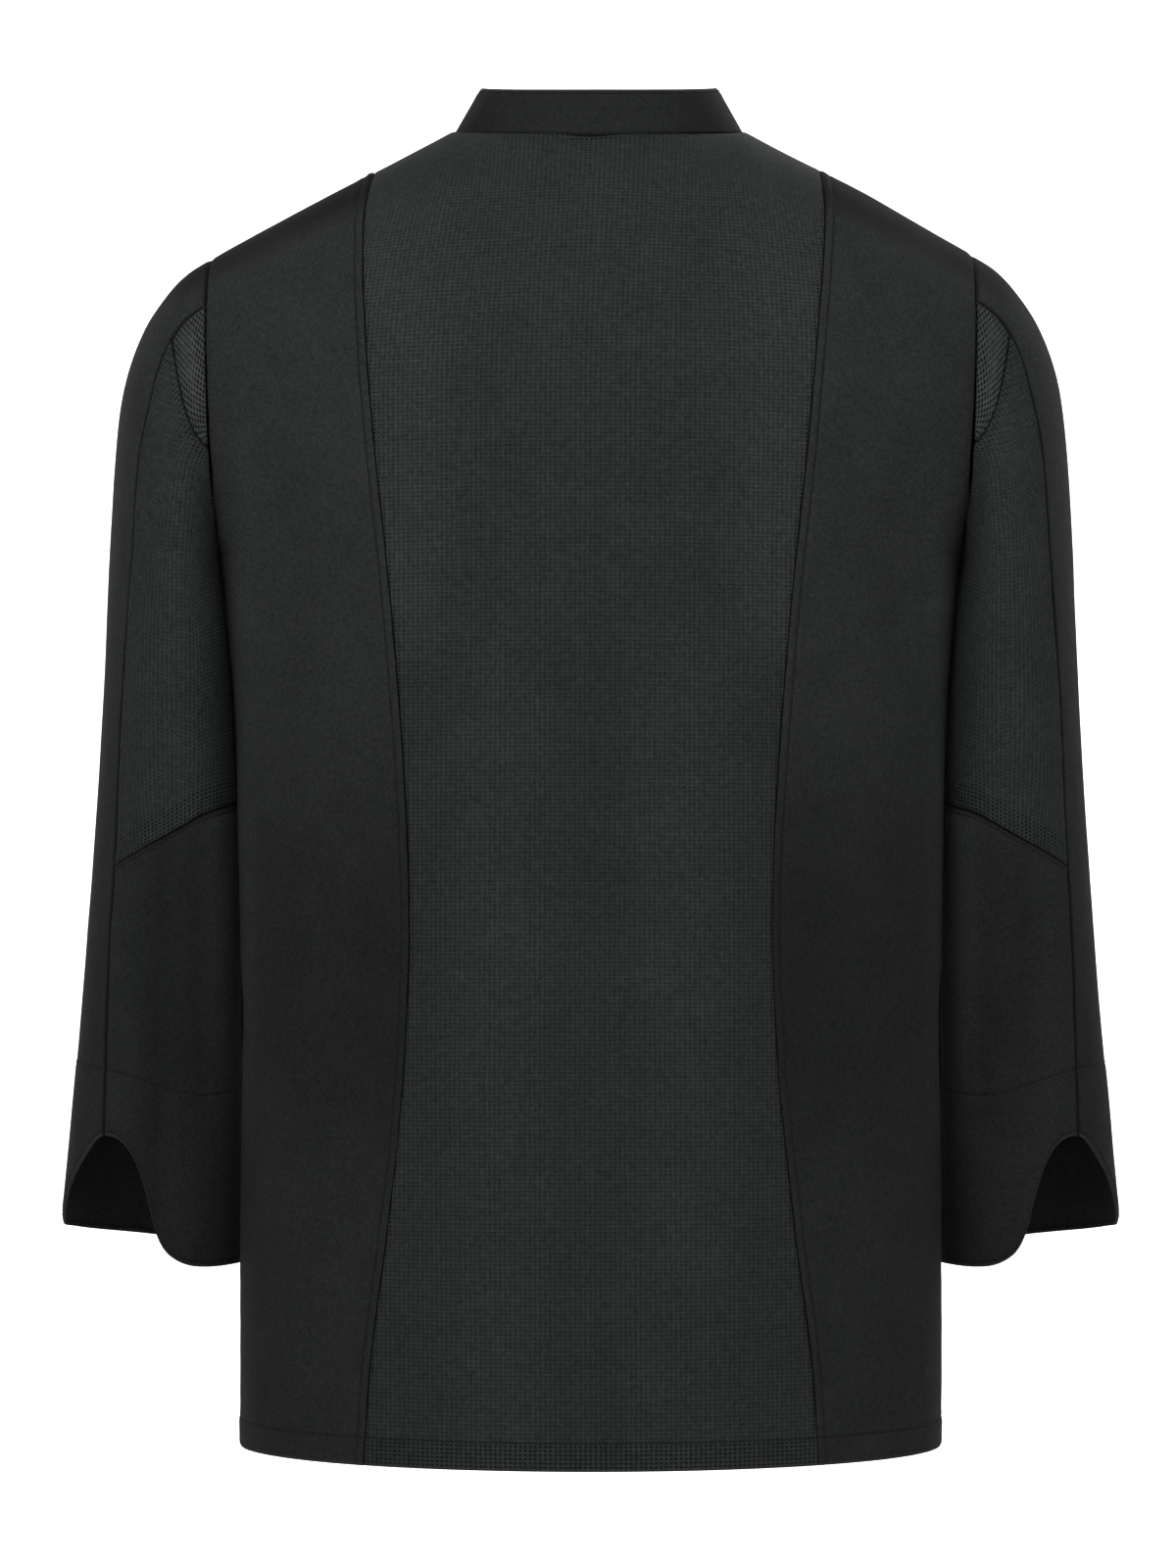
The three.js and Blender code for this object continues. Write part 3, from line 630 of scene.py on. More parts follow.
    def point(self, is_back: bool, column: Array, row: Array) -> Array:
        """Return a point of either half: a negative column is the wearer's right.

        Args:
            is_back: Whether the point is on the back half.
            column: The place along the row, from 0 in the middle to 1 or -1 at the side.
            row: The row: 0 hem, 1 underarm, 2 shoulder blades, 3 top edge.

        Returns:
            The point.
        """
        column, row = np.broadcast_arrays(np.asarray(column, float), np.asarray(row, float))
        points = self.plain_point(is_back, np.abs(column), row)
        if is_back:
            points[..., 1] += self.drape_lift(points[..., 0], points[..., 2])
        points[..., 0] *= np.where(column < 0, -1.0, 1.0)
        beyond_neck = (np.abs(column) - self.neck_column) / (1 - self.neck_column)
        points[..., 0] += self.neck_shift * smooth(row - 2) * (1 - smooth(beyond_neck))
        return raised_right(points)

    def column_at(self, is_back: bool, row: Array, half_width: Callable[[Array], Array]) -> Array:
        """Return the column at which each row reaches a half width that may change with height.

        Args:
            is_back: Whether the point is on the back half.
            row: The rows.
            half_width: The half width at each height.

        Returns:
            The column on each row.
        """

        def short_of(column: Array) -> Array:
            """Return how far past the half width a column lies."""
            points = self.plain_point(is_back, column, row)
            return points[..., 0] - half_width(points[..., 2])

        return solve(short_of, np.zeros_like(row), np.ones_like(row))

    def back_seam_column(self, row: Array) -> Array:
        """Return the column of the centre back's seam on each row."""
        return self.column_at(True, row, lambda height: read_table(BACK_SEAM, "value", height))


@dataclass(frozen=True)
class SleeveForm:
    """The shape of a sleeve: along runs from armhole to cuff, angle round it, 90 outermost and 0 the back."""

    back_seam_angle: float = 40.0
    underarm_angle: float = -70.0
    drift_reach: float = 45.0
    clearance: float = 0.0004
    gusset_length: float = 0.06
    gusset_tip_angle: float = -18.0
    gusset_curve: float = 4.0
    back_swing: float = 0.002

    def point(self, along: Array, angle: Array) -> Array:
        """Return a point of the left sleeve.

        Args:
            along: The place along the sleeve, 0 at the armhole and 1 near the cuff.
            angle: The angle round the sleeve, in degrees.

        Returns:
            The point.
        """
        along, angle = np.broadcast_arrays(np.asarray(along, float), np.asarray(angle, float))
        drift = read_table(BACK_SEAM_DRIFT, "value", along)
        turned = np.radians(angle + drift * bump(angle - self.back_seam_angle, self.drift_reach))
        out, back = np.sin(turned), np.cos(turned)
        share = (1 + out) / 2
        read = {name: read_table(SLEEVE_SECTIONS, name, along) for name in SleeveSection._fields[1:]}
        swing = self.back_swing * back * np.maximum(1 - along / SLEEVE_SECTIONS[3].along, 0)
        return vectors(
            mix(read["inner_x"], read["outer_x"], share) + swing + self.clearance,
            read["middle_y"] + read["half_depth"] * back,
            mix(read["inner_z"], read["outer_z"], share),
        )

    def along_at(self, angle: Array, height: Array) -> Array:
        """Return how far along the sleeve a line at each angle reaches a height.

        Args:
            angle: The angles.
            height: The height at each angle.

        Returns:
            The place along.
        """
        low = np.full_like(angle, 0.2)
        high = np.full_like(angle, SLEEVE_SECTIONS[-1].along)
        return solve(lambda along: self.point(along, angle)[..., 2] - height, low, high)

    def elbow(self, angle: Array) -> Array:
        """Return where the elbow seam runs at each angle."""
        return self.along_at(angle, read_table(ELBOW_SEAM, "value", angle))

    def cuff(self, angle: Array) -> Array:
        """Return where the cuff's edge runs at each angle."""
        return self.along_at(angle, read_table(CUFF_EDGE, "value", angle))

    def armhole(self, angle: Array) -> Array:
        """Return the start of the sleeve at each angle."""
        return np.zeros_like(angle)

    def gusset_fold(self, angle: Array) -> Array:
        """Return where the folded edge over the gusset runs at each angle."""
        share = (self.back_seam_angle - angle) / (self.back_seam_angle - self.gusset_tip_angle)
        return self.gusset_length * (1 - np.clip(share, 0, 1) ** self.gusset_curve)


@dataclass(frozen=True)
class CollarForm:
    """The shape of the collar band, round from one front end to the other."""

    body: BodyForm = BodyForm()
    back_height: float = 0.0243
    side_height: float = 0.0255
    front_height: float = 0.028
    back_lean: float = 0.007
    side_lean: float = 0.0145
    front_lean: float = 0.009
    front_opening: float = 0.003
    seam_gap: float = 0.0004
    tuck: float = 0.0028
    tuck_share: float = 0.22

    def point(self, across: Array, up: Array) -> Array:
        """Return a point of the band, which runs down behind the edge of the body below its seam.

        Args:
            across: The place round the neck, from 0 to 1.
            up: The place from the seam, 0, to the top edge, 1.

        Returns:
            The point.
        """
        inset = self.front_opening / 2 / (2 * math.pi * self.body.neck_half_width)
        turn = 360 * mix(1 - inset, inset, across) - 180
        is_back = np.abs(turn) <= 90
        back = self.body.neck_point(True, np.abs(turn))
        front = self.body.neck_point(False, 180 - np.abs(turn))
        base = np.where(is_back[..., None], back, front)
        side, end = np.sin(np.radians(turn)), np.abs(np.cos(np.radians(turn)))
        share = end**2
        height = mix(self.side_height, np.where(is_back, self.back_height, self.front_height), share)
        lean = mix(self.side_lean, np.where(is_back, self.back_lean, self.front_lean), share)
        inward_y = np.where(is_back, -end, end)
        inward = lean * np.maximum(up, 0) + self.tuck * smooth(-up / self.tuck_share * 1.6)
        return vectors(
            (base[..., 0] - np.abs(side) * inward) * np.sign(side) + self.body.neck_shift,
            base[..., 1] + inward_y * inward,
            base[..., 2] + self.seam_gap + height * up,
        )


@dataclass
class Sheet:
    """A grid of points over a piece of cloth, with the distance of each point from each of its edges."""

    points: Array
    from_start: Array = field(init=False)
    from_end: Array = field(init=False)
    from_bottom: Array = field(init=False)
    from_top: Array = field(init=False)
    normals: Array = field(init=False)

    def __post_init__(self) -> None:
        """Measure the grid."""
        self.from_start = self.arc(self.points, 0)
        self.from_bottom = self.arc(self.points, 1)
        self.from_end = self.from_start[-1:, :] - self.from_start
        self.from_top = self.from_bottom[:, -1:] - self.from_bottom
        self.normals = self.find_normals(self.points)

    @staticmethod
    def arc(points: Array, axis: int) -> Array:
        """Return the distance of each point from the first one along an axis of the grid.

        Args:
            points: The grid of points.
            axis: The axis to measure along.

        Returns:
            The distances.
        """
        steps = np.linalg.norm(np.diff(points, axis=axis), axis=-1)
        start = np.zeros_like(np.take(steps, [0], axis=axis))
        return np.concatenate([start, np.cumsum(steps, axis=axis)], axis=axis)

    @staticmethod
    def find_normals(points: Array) -> Array:
        """Return the outward direction at each point of a grid.

        Args:
            points: The grid of points.

        Returns:
            The directions, each one long.
        """
        along_across = np.gradient(points, axis=0)
        along_up = np.gradient(points, axis=1)
        normals = np.cross(along_across, along_up)
        return normals / np.maximum(np.linalg.norm(normals, axis=-1, keepdims=True), 1e-12)


def graded_places(
    length: float,
    step: float,
    low: Sequence[float] = EDGE_STEPS,
    high: Sequence[float] = EDGE_STEPS,
    corners: Sequence[float] = (),
) -> Array:
    """Return places from 0 to 1 along a length, closer together at its ends.

    Args:
        length: The length they divide, in metres.
        step: The distance between them away from the ends.
        low: The distances of the close places from the start.
        high: The distances of the close places from the end.
        corners: Places that must be among them.

    Returns:
        The rising places.
    """
    near = np.array([0.0, *low]) / length
    far = 1 - np.array([0.0, *high])[::-1] / length
    count = max(2, int(round((far[0] - near[-1]) * length / step)))
    places = np.concatenate([near, np.linspace(near[-1], far[0], count + 1)[1:-1], far])
    for corner in corners:
        places[int(np.argmin(np.abs(places - corner)))] = corner
    return places


def sheet_from(surface: Surface, across: Array, up: Array) -> Sheet:
    """Lay a grid of points over a surface and draw its edges in by half a seam.

    Args:
        surface: The surface.
        across: The places across it.
        up: The places up it.

    Returns:
        The measured grid.
    """
    points = surface(across[:, None], up[None, :])
    for axis in (0, 1):
        grid = np.moveaxis(points, axis, 0)
        for edge, inner in ((0, 1), (-1, -2)):
            step = grid[inner] - grid[edge]
            length = np.maximum(np.linalg.norm(step, axis=-1, keepdims=True), 1e-9)
            grid[edge] += step / length * np.minimum(SEAM_INSET, length * 0.4)
    return Sheet(points)


def mirrored(surface: Surface) -> Surface:
    """Return a surface mirrored to the wearer's right and raised with that shoulder.

    Args:
        surface: The left surface.

    Returns:
        The right surface.
    """

    def on_the_right(across: Array, up: Array) -> Array:
        """Return points of the mirrored surface."""
        return raised_right(surface(1 - across, up) * MIRROR)

    return on_the_right


@dataclass(frozen=True)
class Rgb:
    """A colour by its screen values from 0 to 255."""

    red: float
    green: float
    blue: float

    def shaded(self, factor: float = 1.0) -> tuple[float, float, float, float]:
        """Return the colour made lighter or darker, as the renderer's linear values and an alpha of 1."""
        channels = (self.channel(value / 255) * factor for value in (self.red, self.green, self.blue))
        return (*channels, 1.0)

    @staticmethod
    def channel(value: float) -> float:
        """Turn one screen value into a linear one."""
        return value / 12.92 if value <= 0.04045 else ((value + 0.055) / 1.055) ** 2.4


@dataclass
class Socket:
    """A value inside a shader, on which plain arithmetic adds math nodes."""

    nodes: "ShaderTree"
    output: Any

    def math(self, operation: str, *others: Any) -> "Socket":
        """Add a math node that starts from this value."""
        inputs = dict(enumerate((self, *others)))
        return self.nodes.add("ShaderNodeMath", {"operation": operation}, inputs)

    def __add__(self, other: Any) -> "Socket":
        """Return the sum."""
        return self.math("ADD", other)

    def __radd__(self, other: Any) -> "Socket":
        """Return the sum."""
        return self.math("ADD", other)

    def __sub__(self, other: Any) -> "Socket":
        """Return the difference."""
        return self.math("SUBTRACT", other)

    def __rsub__(self, other: Any) -> "Socket":
        """Return what is left of the other value."""
        return (self * -1.0).math("ADD", other)

    def __mul__(self, other: Any) -> "Socket":
        """Return the product."""
        return self.math("MULTIPLY", other)

    def __pow__(self, other: Any) -> "Socket":
        """Return the power."""
        return self.math("POWER", other)

    def wave(self) -> "Socket":
        """Return a cosine of this value, from 0 to 1."""
        return self.math("COSINE") * 0.5 + 0.5

    def within(self, low: float, high: float, soft: float) -> "Socket":
        """Return 1 between two limits and 0 beyond them, with soft ends.

        Args:
            low: The lower limit.
            high: The upper limit.
            soft: How wide each end's change is.

        Returns:
            A value from 0 to 1.
        """
        return self.step(low, low + soft) * (1.0 - self.step(high - soft, high))

    def mask(self, limits: Range) -> "Socket":
        """Return a soft step that rises or falls from the first limit to the second, or a band.

        Args:
            limits: Two limits, the first one above the second for a step that falls, or the two limits of a
                band and how soft its ends are.

        Returns:
            A value from 0 to 1.
        """
        if len(limits) > 2:
            return self.within(*limits)
        first, last = limits
        return self.step(first, last) if first < last else 1.0 - self.step(last, first)

    def step(self, low: float, high: float) -> "Socket":
        """Return a soft step from 0 at low to 1 at high."""
        inputs = {"Value": self, "From Min": low, "From Max": high}
        return self.nodes.add("ShaderNodeMapRange", {"interpolation_type": "SMOOTHSTEP"}, inputs)


@dataclass
class ShaderTree:
    """The nodes of one material."""

    material: bpy.types.Material

    @classmethod
    def named(cls, name: str) -> "ShaderTree":
        """Start an empty material.

        Args:
            name: Its name.

        Returns:
            Its tree of nodes.
        """
        material = bpy.data.materials.new(name)
        material.use_nodes = True
        material.node_tree.nodes.clear()
        return cls(material)

    def add(
        self,
        kind: str,
        settings: Optional[dict[str, Any]] = None,
        inputs: Optional[dict[Any, Any]] = None,
        output: Any = 0,
    ) -> Socket:
        """Add a node.

        Args:
            kind: The node's Blender type.
            settings: Values of the node's own settings.
            inputs: A value or another node's output for each input, by name or index.
            output: Which of the node's outputs is returned.

        Returns:
            The output as a value of its own.
        """
        node = self.material.node_tree.nodes.new(kind)
        for setting, value in (settings or {}).items():
            setattr(node, setting, value)
        for key, value in (inputs or {}).items():
            if isinstance(value, Socket):
                self.material.node_tree.links.new(value.output, node.inputs[key])
            else:
                node.inputs[key].default_value = value
        return Socket(self, node.outputs[output])

    def separate(self, vector: Socket) -> tuple[Socket, ...]:
        """Return the three parts of a vector."""
        parts = self.add("ShaderNodeSeparateXYZ", inputs={0: vector}).output.node.outputs
        return tuple(Socket(self, part) for part in parts)

    def layer(self, name: str) -> tuple[Socket, ...]:
        """Return the two coordinates of one of the cloth's layers, in metres."""
        return self.separate(self.add("ShaderNodeUVMap", {"uv_map": name}))[:2]

    def split_place(self) -> tuple[Socket, Socket, Socket]:
        """Return how far a place lies from the jacket's middle, how far back, and its height, in metres."""
        x, back, height = self.separate(self.object_place())
        return x.math("ABSOLUTE"), back, height

    def scaled(self, colour: Socket, factor: Socket) -> Socket:
        """Return a colour made lighter or darker by a factor."""
        return self.add("ShaderNodeVectorMath", {"operation": "SCALE"}, {0: colour, "Scale": factor})

    def sewn(self, cloth: Socket) -> Socket:
        """Return a cloth's colour with painted shade in its seams and along its stitching, and a painted
        highlight on its folded edges.

        Args:
            cloth: The colour without the painted seams, stitching and edges.

        Returns:
            The colour with them.
        """
        seam, fold = self.layer("edges")
        line, facing = self.layer("stitches")
        # A painted highlight on folded edges, then painted shade in seams and along the stitched lines
        edge_highlight = self.blend((1.0 - fold.step(*HIGHLIGHT_FADE)) * HIGHLIGHT_SHARE, cloth, PAINTED_HIGHLIGHT_GREY)
        seam_shade = (1.0 - seam.step(*SEAM_SHADE_FADE)) * SEAM_SHADE_SHARE
        nearest = line.math("MINIMUM", facing.math("ABSOLUTE"))
        holes = (1.0 - nearest.step(*STITCH_SHADE_FADE)) * STITCH_SHADE_SHARE
        return self.blend(seam_shade.math("MAXIMUM", holes), edge_highlight, PAINTED_SHADE_BLACK)

    def object_place(self) -> Socket:
        """Return the place on the object, in metres."""
        return self.add("ShaderNodeTexCoord", output="Object")

    def noise(self, scale: float, detail: float) -> Socket:
        """Return a noise from 0 to 1 whose lumps are about 1 / scale metres wide."""
        inputs = {"Vector": self.object_place(), "Scale": scale, "Detail": detail}
        return self.add("ShaderNodeTexNoise", inputs=inputs)

    def blend(self, share: Any, start: Any, end: Any) -> Socket:
        """Return a colour between two colours, whose sockets on the node are numbers 6 and 7."""
        inputs = {0: share, 6: start, 7: end}
        return self.add("ShaderNodeMix", {"data_type": "RGBA"}, inputs, output=2)

    def bump(self, height: Socket, distance: float) -> Socket:
        """Return a normal that makes a height from 0 to 1 show as relief that is distance metres deep."""
        inputs = {"Strength": 1.0, "Distance": distance, "Height": height}
        return self.add("ShaderNodeBump", inputs=inputs)

    def surface(self, **values: Any) -> bpy.types.Material:
        """Finish the material with a plain shader.

        Args:
            values: The value or link of each of its sockets, by name.

        Returns:
            The material.
        """
        named = {key.replace("_", " ").title().replace("Ior", "IOR"): value for key, value in values.items()}
        shader = self.add("ShaderNodeBsdfPrincipled", inputs=named)
        self.add_output(shader)
        return self.material

    def add_output(self, shader: Socket) -> None:
        """Link the shader to the material's output."""
        node = self.material.node_tree.nodes.new("ShaderNodeOutputMaterial")
        self.material.node_tree.links.new(shader.output, node.inputs["Surface"])


class Edge(Enum):
    """The four edges of a panel of cloth, as its left one is laid out."""

    START = "start"
    END = "end"
    BOTTOM = "bottom"
    TOP = "top"


@dataclass(frozen=True)
class Crease:
    """A soft ridge or trough, seen from behind or in front, in metres.

    Its depth is below zero for a trough, and bend bows it sideways in the middle.
    """

    start_x: float
    start_z: float
    end_x: float
    end_z: float
    reach: float
    depth: float
    bend: float = 0.0

    def lift(self, points: Array, facing: Array) -> Array:
        """Return how far the crease lifts each point of a surface.

        Args:
            points: The points.
            facing: How far each one faces the side the crease is on, from 0 to 1.

        Returns:
            The lift at each point, in metres.
        """
        start = np.array([self.start_x, self.start_z])
        end = np.array([self.end_x, self.end_z])
        run = end - start
        length = float(np.linalg.norm(run))
        run = run / length
        offset = points[..., [0, 2]] - start
        along = offset @ run / length
        aside = offset @ np.array([-run[1], run[0]])
        held = np.clip(along, 0, 1)
        aside = aside - self.bend * 4 * held * (1 - held)
        seed = int(abs(self.start_z) * 9000) % WAVER_SEEDS
        waver = WAVER_SHARE * self.reach * soft_noise(held * length, WAVER_LENGTH, seed)
        hill = np.sin(np.pi * held)
        width = self.reach * (CREASE_WIDTHS[0] + CREASE_WIDTHS[1] * hill)
        uneven = soft_noise(held * length, CREASE_UNEVEN_LENGTH, CREASE_UNEVEN_SEED)
        fade = hill**CREASE_FADE_POWER * (1 + CREASE_UNEVEN_SHARE * uneven)
        return self.depth * fade * bump(aside - waver, width) * smooth(facing / CREASE_FACING)


@dataclass
class ClothPanel:
    """One piece of cloth as a thin closed shell over its form, with relief along its normals."""

    node: str
    cloth: Cloth
    surface: Surface
    across: Array
    up: Array
    seed: int = 1
    flipped: bool = False
    wall: float = CLOTH_WALL
    # Folded edges get a painted highlight; the other edges get painted seam shade, widened by seam_width
    free: tuple[Edge, ...] = (Edge.BOTTOM,)
    seam_width: float = 0.6
    sheet: Sheet = field(init=False)
    lift: Array = field(init=False)
    from_stitches: Array = field(init=False)
    above_facing: Array = field(init=False)

    def __post_init__(self) -> None:
        """Lay out the grid of the panel, whose columns run the other way on the wearer's right."""
        if self.flipped:
            self.across = 1 - self.across[::-1]
        self.sheet = sheet_from(self.surface, self.across, self.up)
        self.lift = np.zeros(self.sheet.points.shape[:2])
        self.from_stitches = np.full_like(self.lift, FAR)
        self.above_facing = np.full_like(self.lift, FAR)

    def distance(self, edge: Edge) -> Array:
        """Return the distance of each point from an edge.

        Args:
            edge: The edge, as on the left panel.

        Returns:
            The distances, in metres.
        """
        if self.flipped and edge in (Edge.START, Edge.END):
            edge = Edge.END if edge is Edge.START else Edge.START
        named = {
            Edge.START: self.sheet.from_start,
            Edge.END: self.sheet.from_end,
            Edge.BOTTOM: self.sheet.from_bottom,
            Edge.TOP: self.sheet.from_top,
        }
        return named[edge]

    def run_along(self, edge: Edge) -> Array:
        """Return how far along an edge each point lies."""
        return self.sheet.from_bottom if edge in (Edge.START, Edge.END) else self.sheet.from_start

    def facing(self, is_back: bool) -> Array:
        """Return how far each point faces the back or the front, from 0 to 1."""
        normal_y = self.sheet.normals[..., 1]
        return np.maximum(normal_y if is_back else -normal_y, 0)

    def round_edge(self, edge: Edge, depth: float = 0.5 * MM, reach: float = 1.3 * MM) -> None:
        """Turn an edge in, as at a seam or fold."""
        self.lift -= depth * bump(self.distance(edge), reach)

    def seam_pucker(self, edge: Edge, height: float = 0.22 * MM, reach: float = 9 * MM) -> None:
        """Gather the cloth beside a seam in small uneven ripples.

        Args:
            edge: The edge of the seam.
            height: The height of the ripples.
            reach: How far they reach from the seam.
        """
        along = self.run_along(edge)
        ripple = soft_noise(along, 7.5 * MM, self.seed + 11) + 0.6 * soft_noise(along, 17 * MM, self.seed + 5)
        fade = np.exp(-self.distance(edge) / reach)
        self.lift += height * ripple * fade

    def stitched_channel(self, edge: Edge, at: Array | float, depth: float = 0.32 * MM) -> None:
        """Sink a line of stitching at a distance from an edge, with the cloth swelling a little beside it.

        Args:
            edge: The edge.
            at: The distance of the line from it.
            depth: How deep the line is sunk.
        """
        along = self.run_along(edge)
        aside = self.distance(edge) - at
        self.from_stitches = np.minimum(self.from_stitches, np.abs(aside))
        pull = 1 + 0.45 * soft_noise(along, 6 * MM, self.seed + 23)
        self.lift -= depth * pull * bump(aside, 1.1 * MM)
        swell = bump(aside - 2.6 * MM, 1.6 * MM) + bump(aside + 2.4 * MM, 1.6 * MM)
        self.lift += depth * 0.5 * pull * swell

    def doubled(self, edge: Edge, width: Array | float, height: float = 0.5 * MM) -> None:
        """Raise the cloth between an edge and a line beside it, where it lies double."""
        self.lift += height * (1 - smooth((self.distance(edge) - width + 0.6 * MM) / (1.4 * MM)))

    def unevenness(self, amount: float = 0.45 * MM) -> None:
        """Make the cloth softly uneven all over.

        Args:
            amount: The height of the widest waves, in metres.
        """
        x, y, z = np.moveaxis(self.sheet.points, -1, 0)
        for wavelength, share in ((71 * MM, 1.0), (33 * MM, 0.45), (14 * MM, 0.16)):
            slanted = soft_noise(x + 0.37 * z, wavelength, self.seed)
            crossing = soft_noise(z - 0.29 * x + y, wavelength, self.seed + 3)
            self.lift += amount * share * (slanted + crossing) / 2

    def creases(self, creases: Sequence[Crease], is_back: bool) -> None:
        """Lay creases on the side of the panel that faces back or front.

        Args:
            creases: The creases.
            is_back: Whether they are on the side that faces back.
        """
        facing = self.facing(is_back)
        for crease in creases:
            self.lift += crease.lift(self.sheet.points, facing)

    @property
    def outer(self) -> Array:
        """Return the points of the outer face."""
        return self.sheet.points + self.sheet.normals * self.lift[..., None]

    def flat(self) -> Array:
        """Return the flat coordinates of each point, in metres, upright lines staying upright."""
        middle = self.sheet.points.shape[0] // 2
        across = self.sheet.from_start - self.sheet.from_start[middle : middle + 1, :]
        return np.stack([across, self.sheet.from_bottom], axis=-1)

    def edges(self) -> Array:
        """Return the distance of each point from the nearest seam and from the nearest folded edge, which
        place painted shade and a painted highlight.

        Returns:
            The distances, the seam's divided by the width of its painted shade.
        """
        seam = np.full_like(self.lift, FAR)
        fold = np.full_like(self.lift, FAR)
        for edge in Edge:
            nearest = fold if edge in self.free else seam
            np.minimum(nearest, self.distance(edge), out=nearest)
        return np.stack([seam / self.seam_width, fold], axis=-1)

    def stand_out(self, edge: Edge, height: float, low: float, high: float, reach: float = 25 * MM) -> None:
        """Let the cloth stand out beside an edge between two heights.

        Args:
            edge: The edge.
            height: How far the cloth stands out.
            low: The height at which that starts.
            high: The height at which it stops.
            reach: How far it reaches from the edge.
        """
        z = self.sheet.points[..., 2]
        inside = smooth((z - low) / 0.04) * smooth((high - z) / 0.04)
        self.lift += height * inside * bump(self.distance(edge), reach)

    def build(self, material: bpy.types.Material) -> bpy.types.Object:
        """Args:
            material: The material of its cloth.

        Returns:
            The object.
        """
        outer = self.outer
        inner = outer - self.sheet.normals * self.wall
        lines, length = outer.shape[:2]
        index = np.arange(lines * length).reshape(lines, length)
        back = index + lines * length
        faces = [
            quads(index[:-1, :-1], index[1:, :-1], index[1:, 1:], index[:-1, 1:]),
            quads(back[:-1, :-1], back[:-1, 1:], back[1:, 1:], back[1:, :-1]),
            quads(index[:-1, 0], back[:-1, 0], back[1:, 0], index[1:, 0]),
            quads(index[:-1, -1], index[1:, -1], back[1:, -1], back[:-1, -1]),
            quads(index[0, :-1], index[0, 1:], back[0, 1:], back[0, :-1]),
            quads(index[-1, :-1], back[-1, :-1], back[-1, 1:], index[-1, 1:]),
        ]
        points = np.concatenate([outer.reshape(-1, 3), inner.reshape(-1, 3)])
        # Distances from seams, folded edges and stitching, which place the painted shade and highlight
        stitches = np.stack([self.from_stitches, self.above_facing], axis=-1)
        layers = {"flat": self.flat(), "edges": self.edges(), "stitches": np.clip(stitches, -FAR, FAR)}
        both = {name: np.tile(values.reshape(-1, 2), (2, 1)) for name, values in layers.items()}
        piece = MeshBuilder(f"{self.node}_cloth", material).make(points, np.concatenate(faces), both)
        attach(piece, BODY)
        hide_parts(self.node)
        LOG.info("%s: %d faces", piece.name, len(piece.data.polygons))
        return piece

    def place(self, across_index: Array, up_index: Array) -> Line:
        """Return points and normals of the outer face at fractional places of the grid.

        Args:
            across_index: The places across the grid.
            up_index: The places up the grid.

        Returns:
            The points and the normals.
        """
        lines, length = self.lift.shape
        line = np.clip(np.floor(across_index).astype(int), 0, lines - 2)
        row = np.clip(np.floor(up_index).astype(int), 0, length - 2)
        line_share = (across_index - line)[:, None]
        row_share = (up_index - row)[:, None]

        def read(grid: Array) -> Array:
            """Read a grid between its points."""
            low = mix(grid[line, row], grid[line + 1, row], line_share)
            high = mix(grid[line, row + 1], grid[line + 1, row + 1], line_share)
            return mix(low, high, row_share)

        normals = read(self.sheet.normals)
        return read(self.outer), normals / np.linalg.norm(normals, axis=-1, keepdims=True)

    def beside(self, edge: Edge, offset: float, ends: tuple[float, float]) -> Line:
        """Return a line of points and normals that runs beside an edge.

        Args:
            edge: The edge.
            offset: The line's distance from it, in metres.
            ends: The shares of the edge's length at which the line starts and stops.

        Returns:
            The points and the normals along the line.
        """
        lines, length = self.lift.shape
        distance = self.distance(edge)
        if edge in (Edge.START, Edge.END):
            rows = np.linspace(ends[0], ends[1], 4 * length) * (length - 1)
            crossing = np.array([crossing_index(distance[:, row], offset) for row in range(length)])
            return self.place(np.interp(rows, np.arange(length), crossing), rows)
        columns = np.linspace(ends[0], ends[1], 4 * lines) * (lines - 1)
        crossing = np.array([crossing_index(distance[line, :], offset) for line in range(lines)])
        return self.place(columns, np.interp(columns, np.arange(lines), crossing))


def quads(first: Array, second: Array, third: Array, fourth: Array) -> Array:
    """Return faces whose corners are the points of four arrays, in turn."""
    return np.stack((first, second, third, fourth), axis=-1).reshape(-1, 4)


def turned_faces(rings: int, sides: int) -> Array:
    """Return the triangles between a first point, rings of points and a last point.

    Args:
        rings: How many rings there are.
        sides: How many points each ring has.

    Returns:
        The indices of each triangle's points.
    """
    last = 1 + rings * sides
    faces = []
    for side in range(sides):
        beside = (side + 1) % sides
        faces.append((0, 1 + beside, 1 + side))
        for ring in range(rings - 1):
            low, high = 1 + ring * sides, 1 + (ring + 1) * sides
            faces.append((low + side, low + beside, high + beside))
            faces.append((low + side, high + beside, high + side))
        end = last - sides
        faces.append((last, end + side, end + beside))
    return np.array(faces)


def crossing_index(distances: Array, offset: float) -> float:
    """Return the fractional index at which a rising or falling line of distances reaches an offset.

    Args:
        distances: The distances.
        offset: The offset.

    Returns:
        The index.
    """
    indices = np.arange(len(distances), dtype=float)
    if distances[0] > distances[-1]:
        return float(np.interp(offset, distances[::-1], indices[::-1]))
    return float(np.interp(offset, distances, indices))


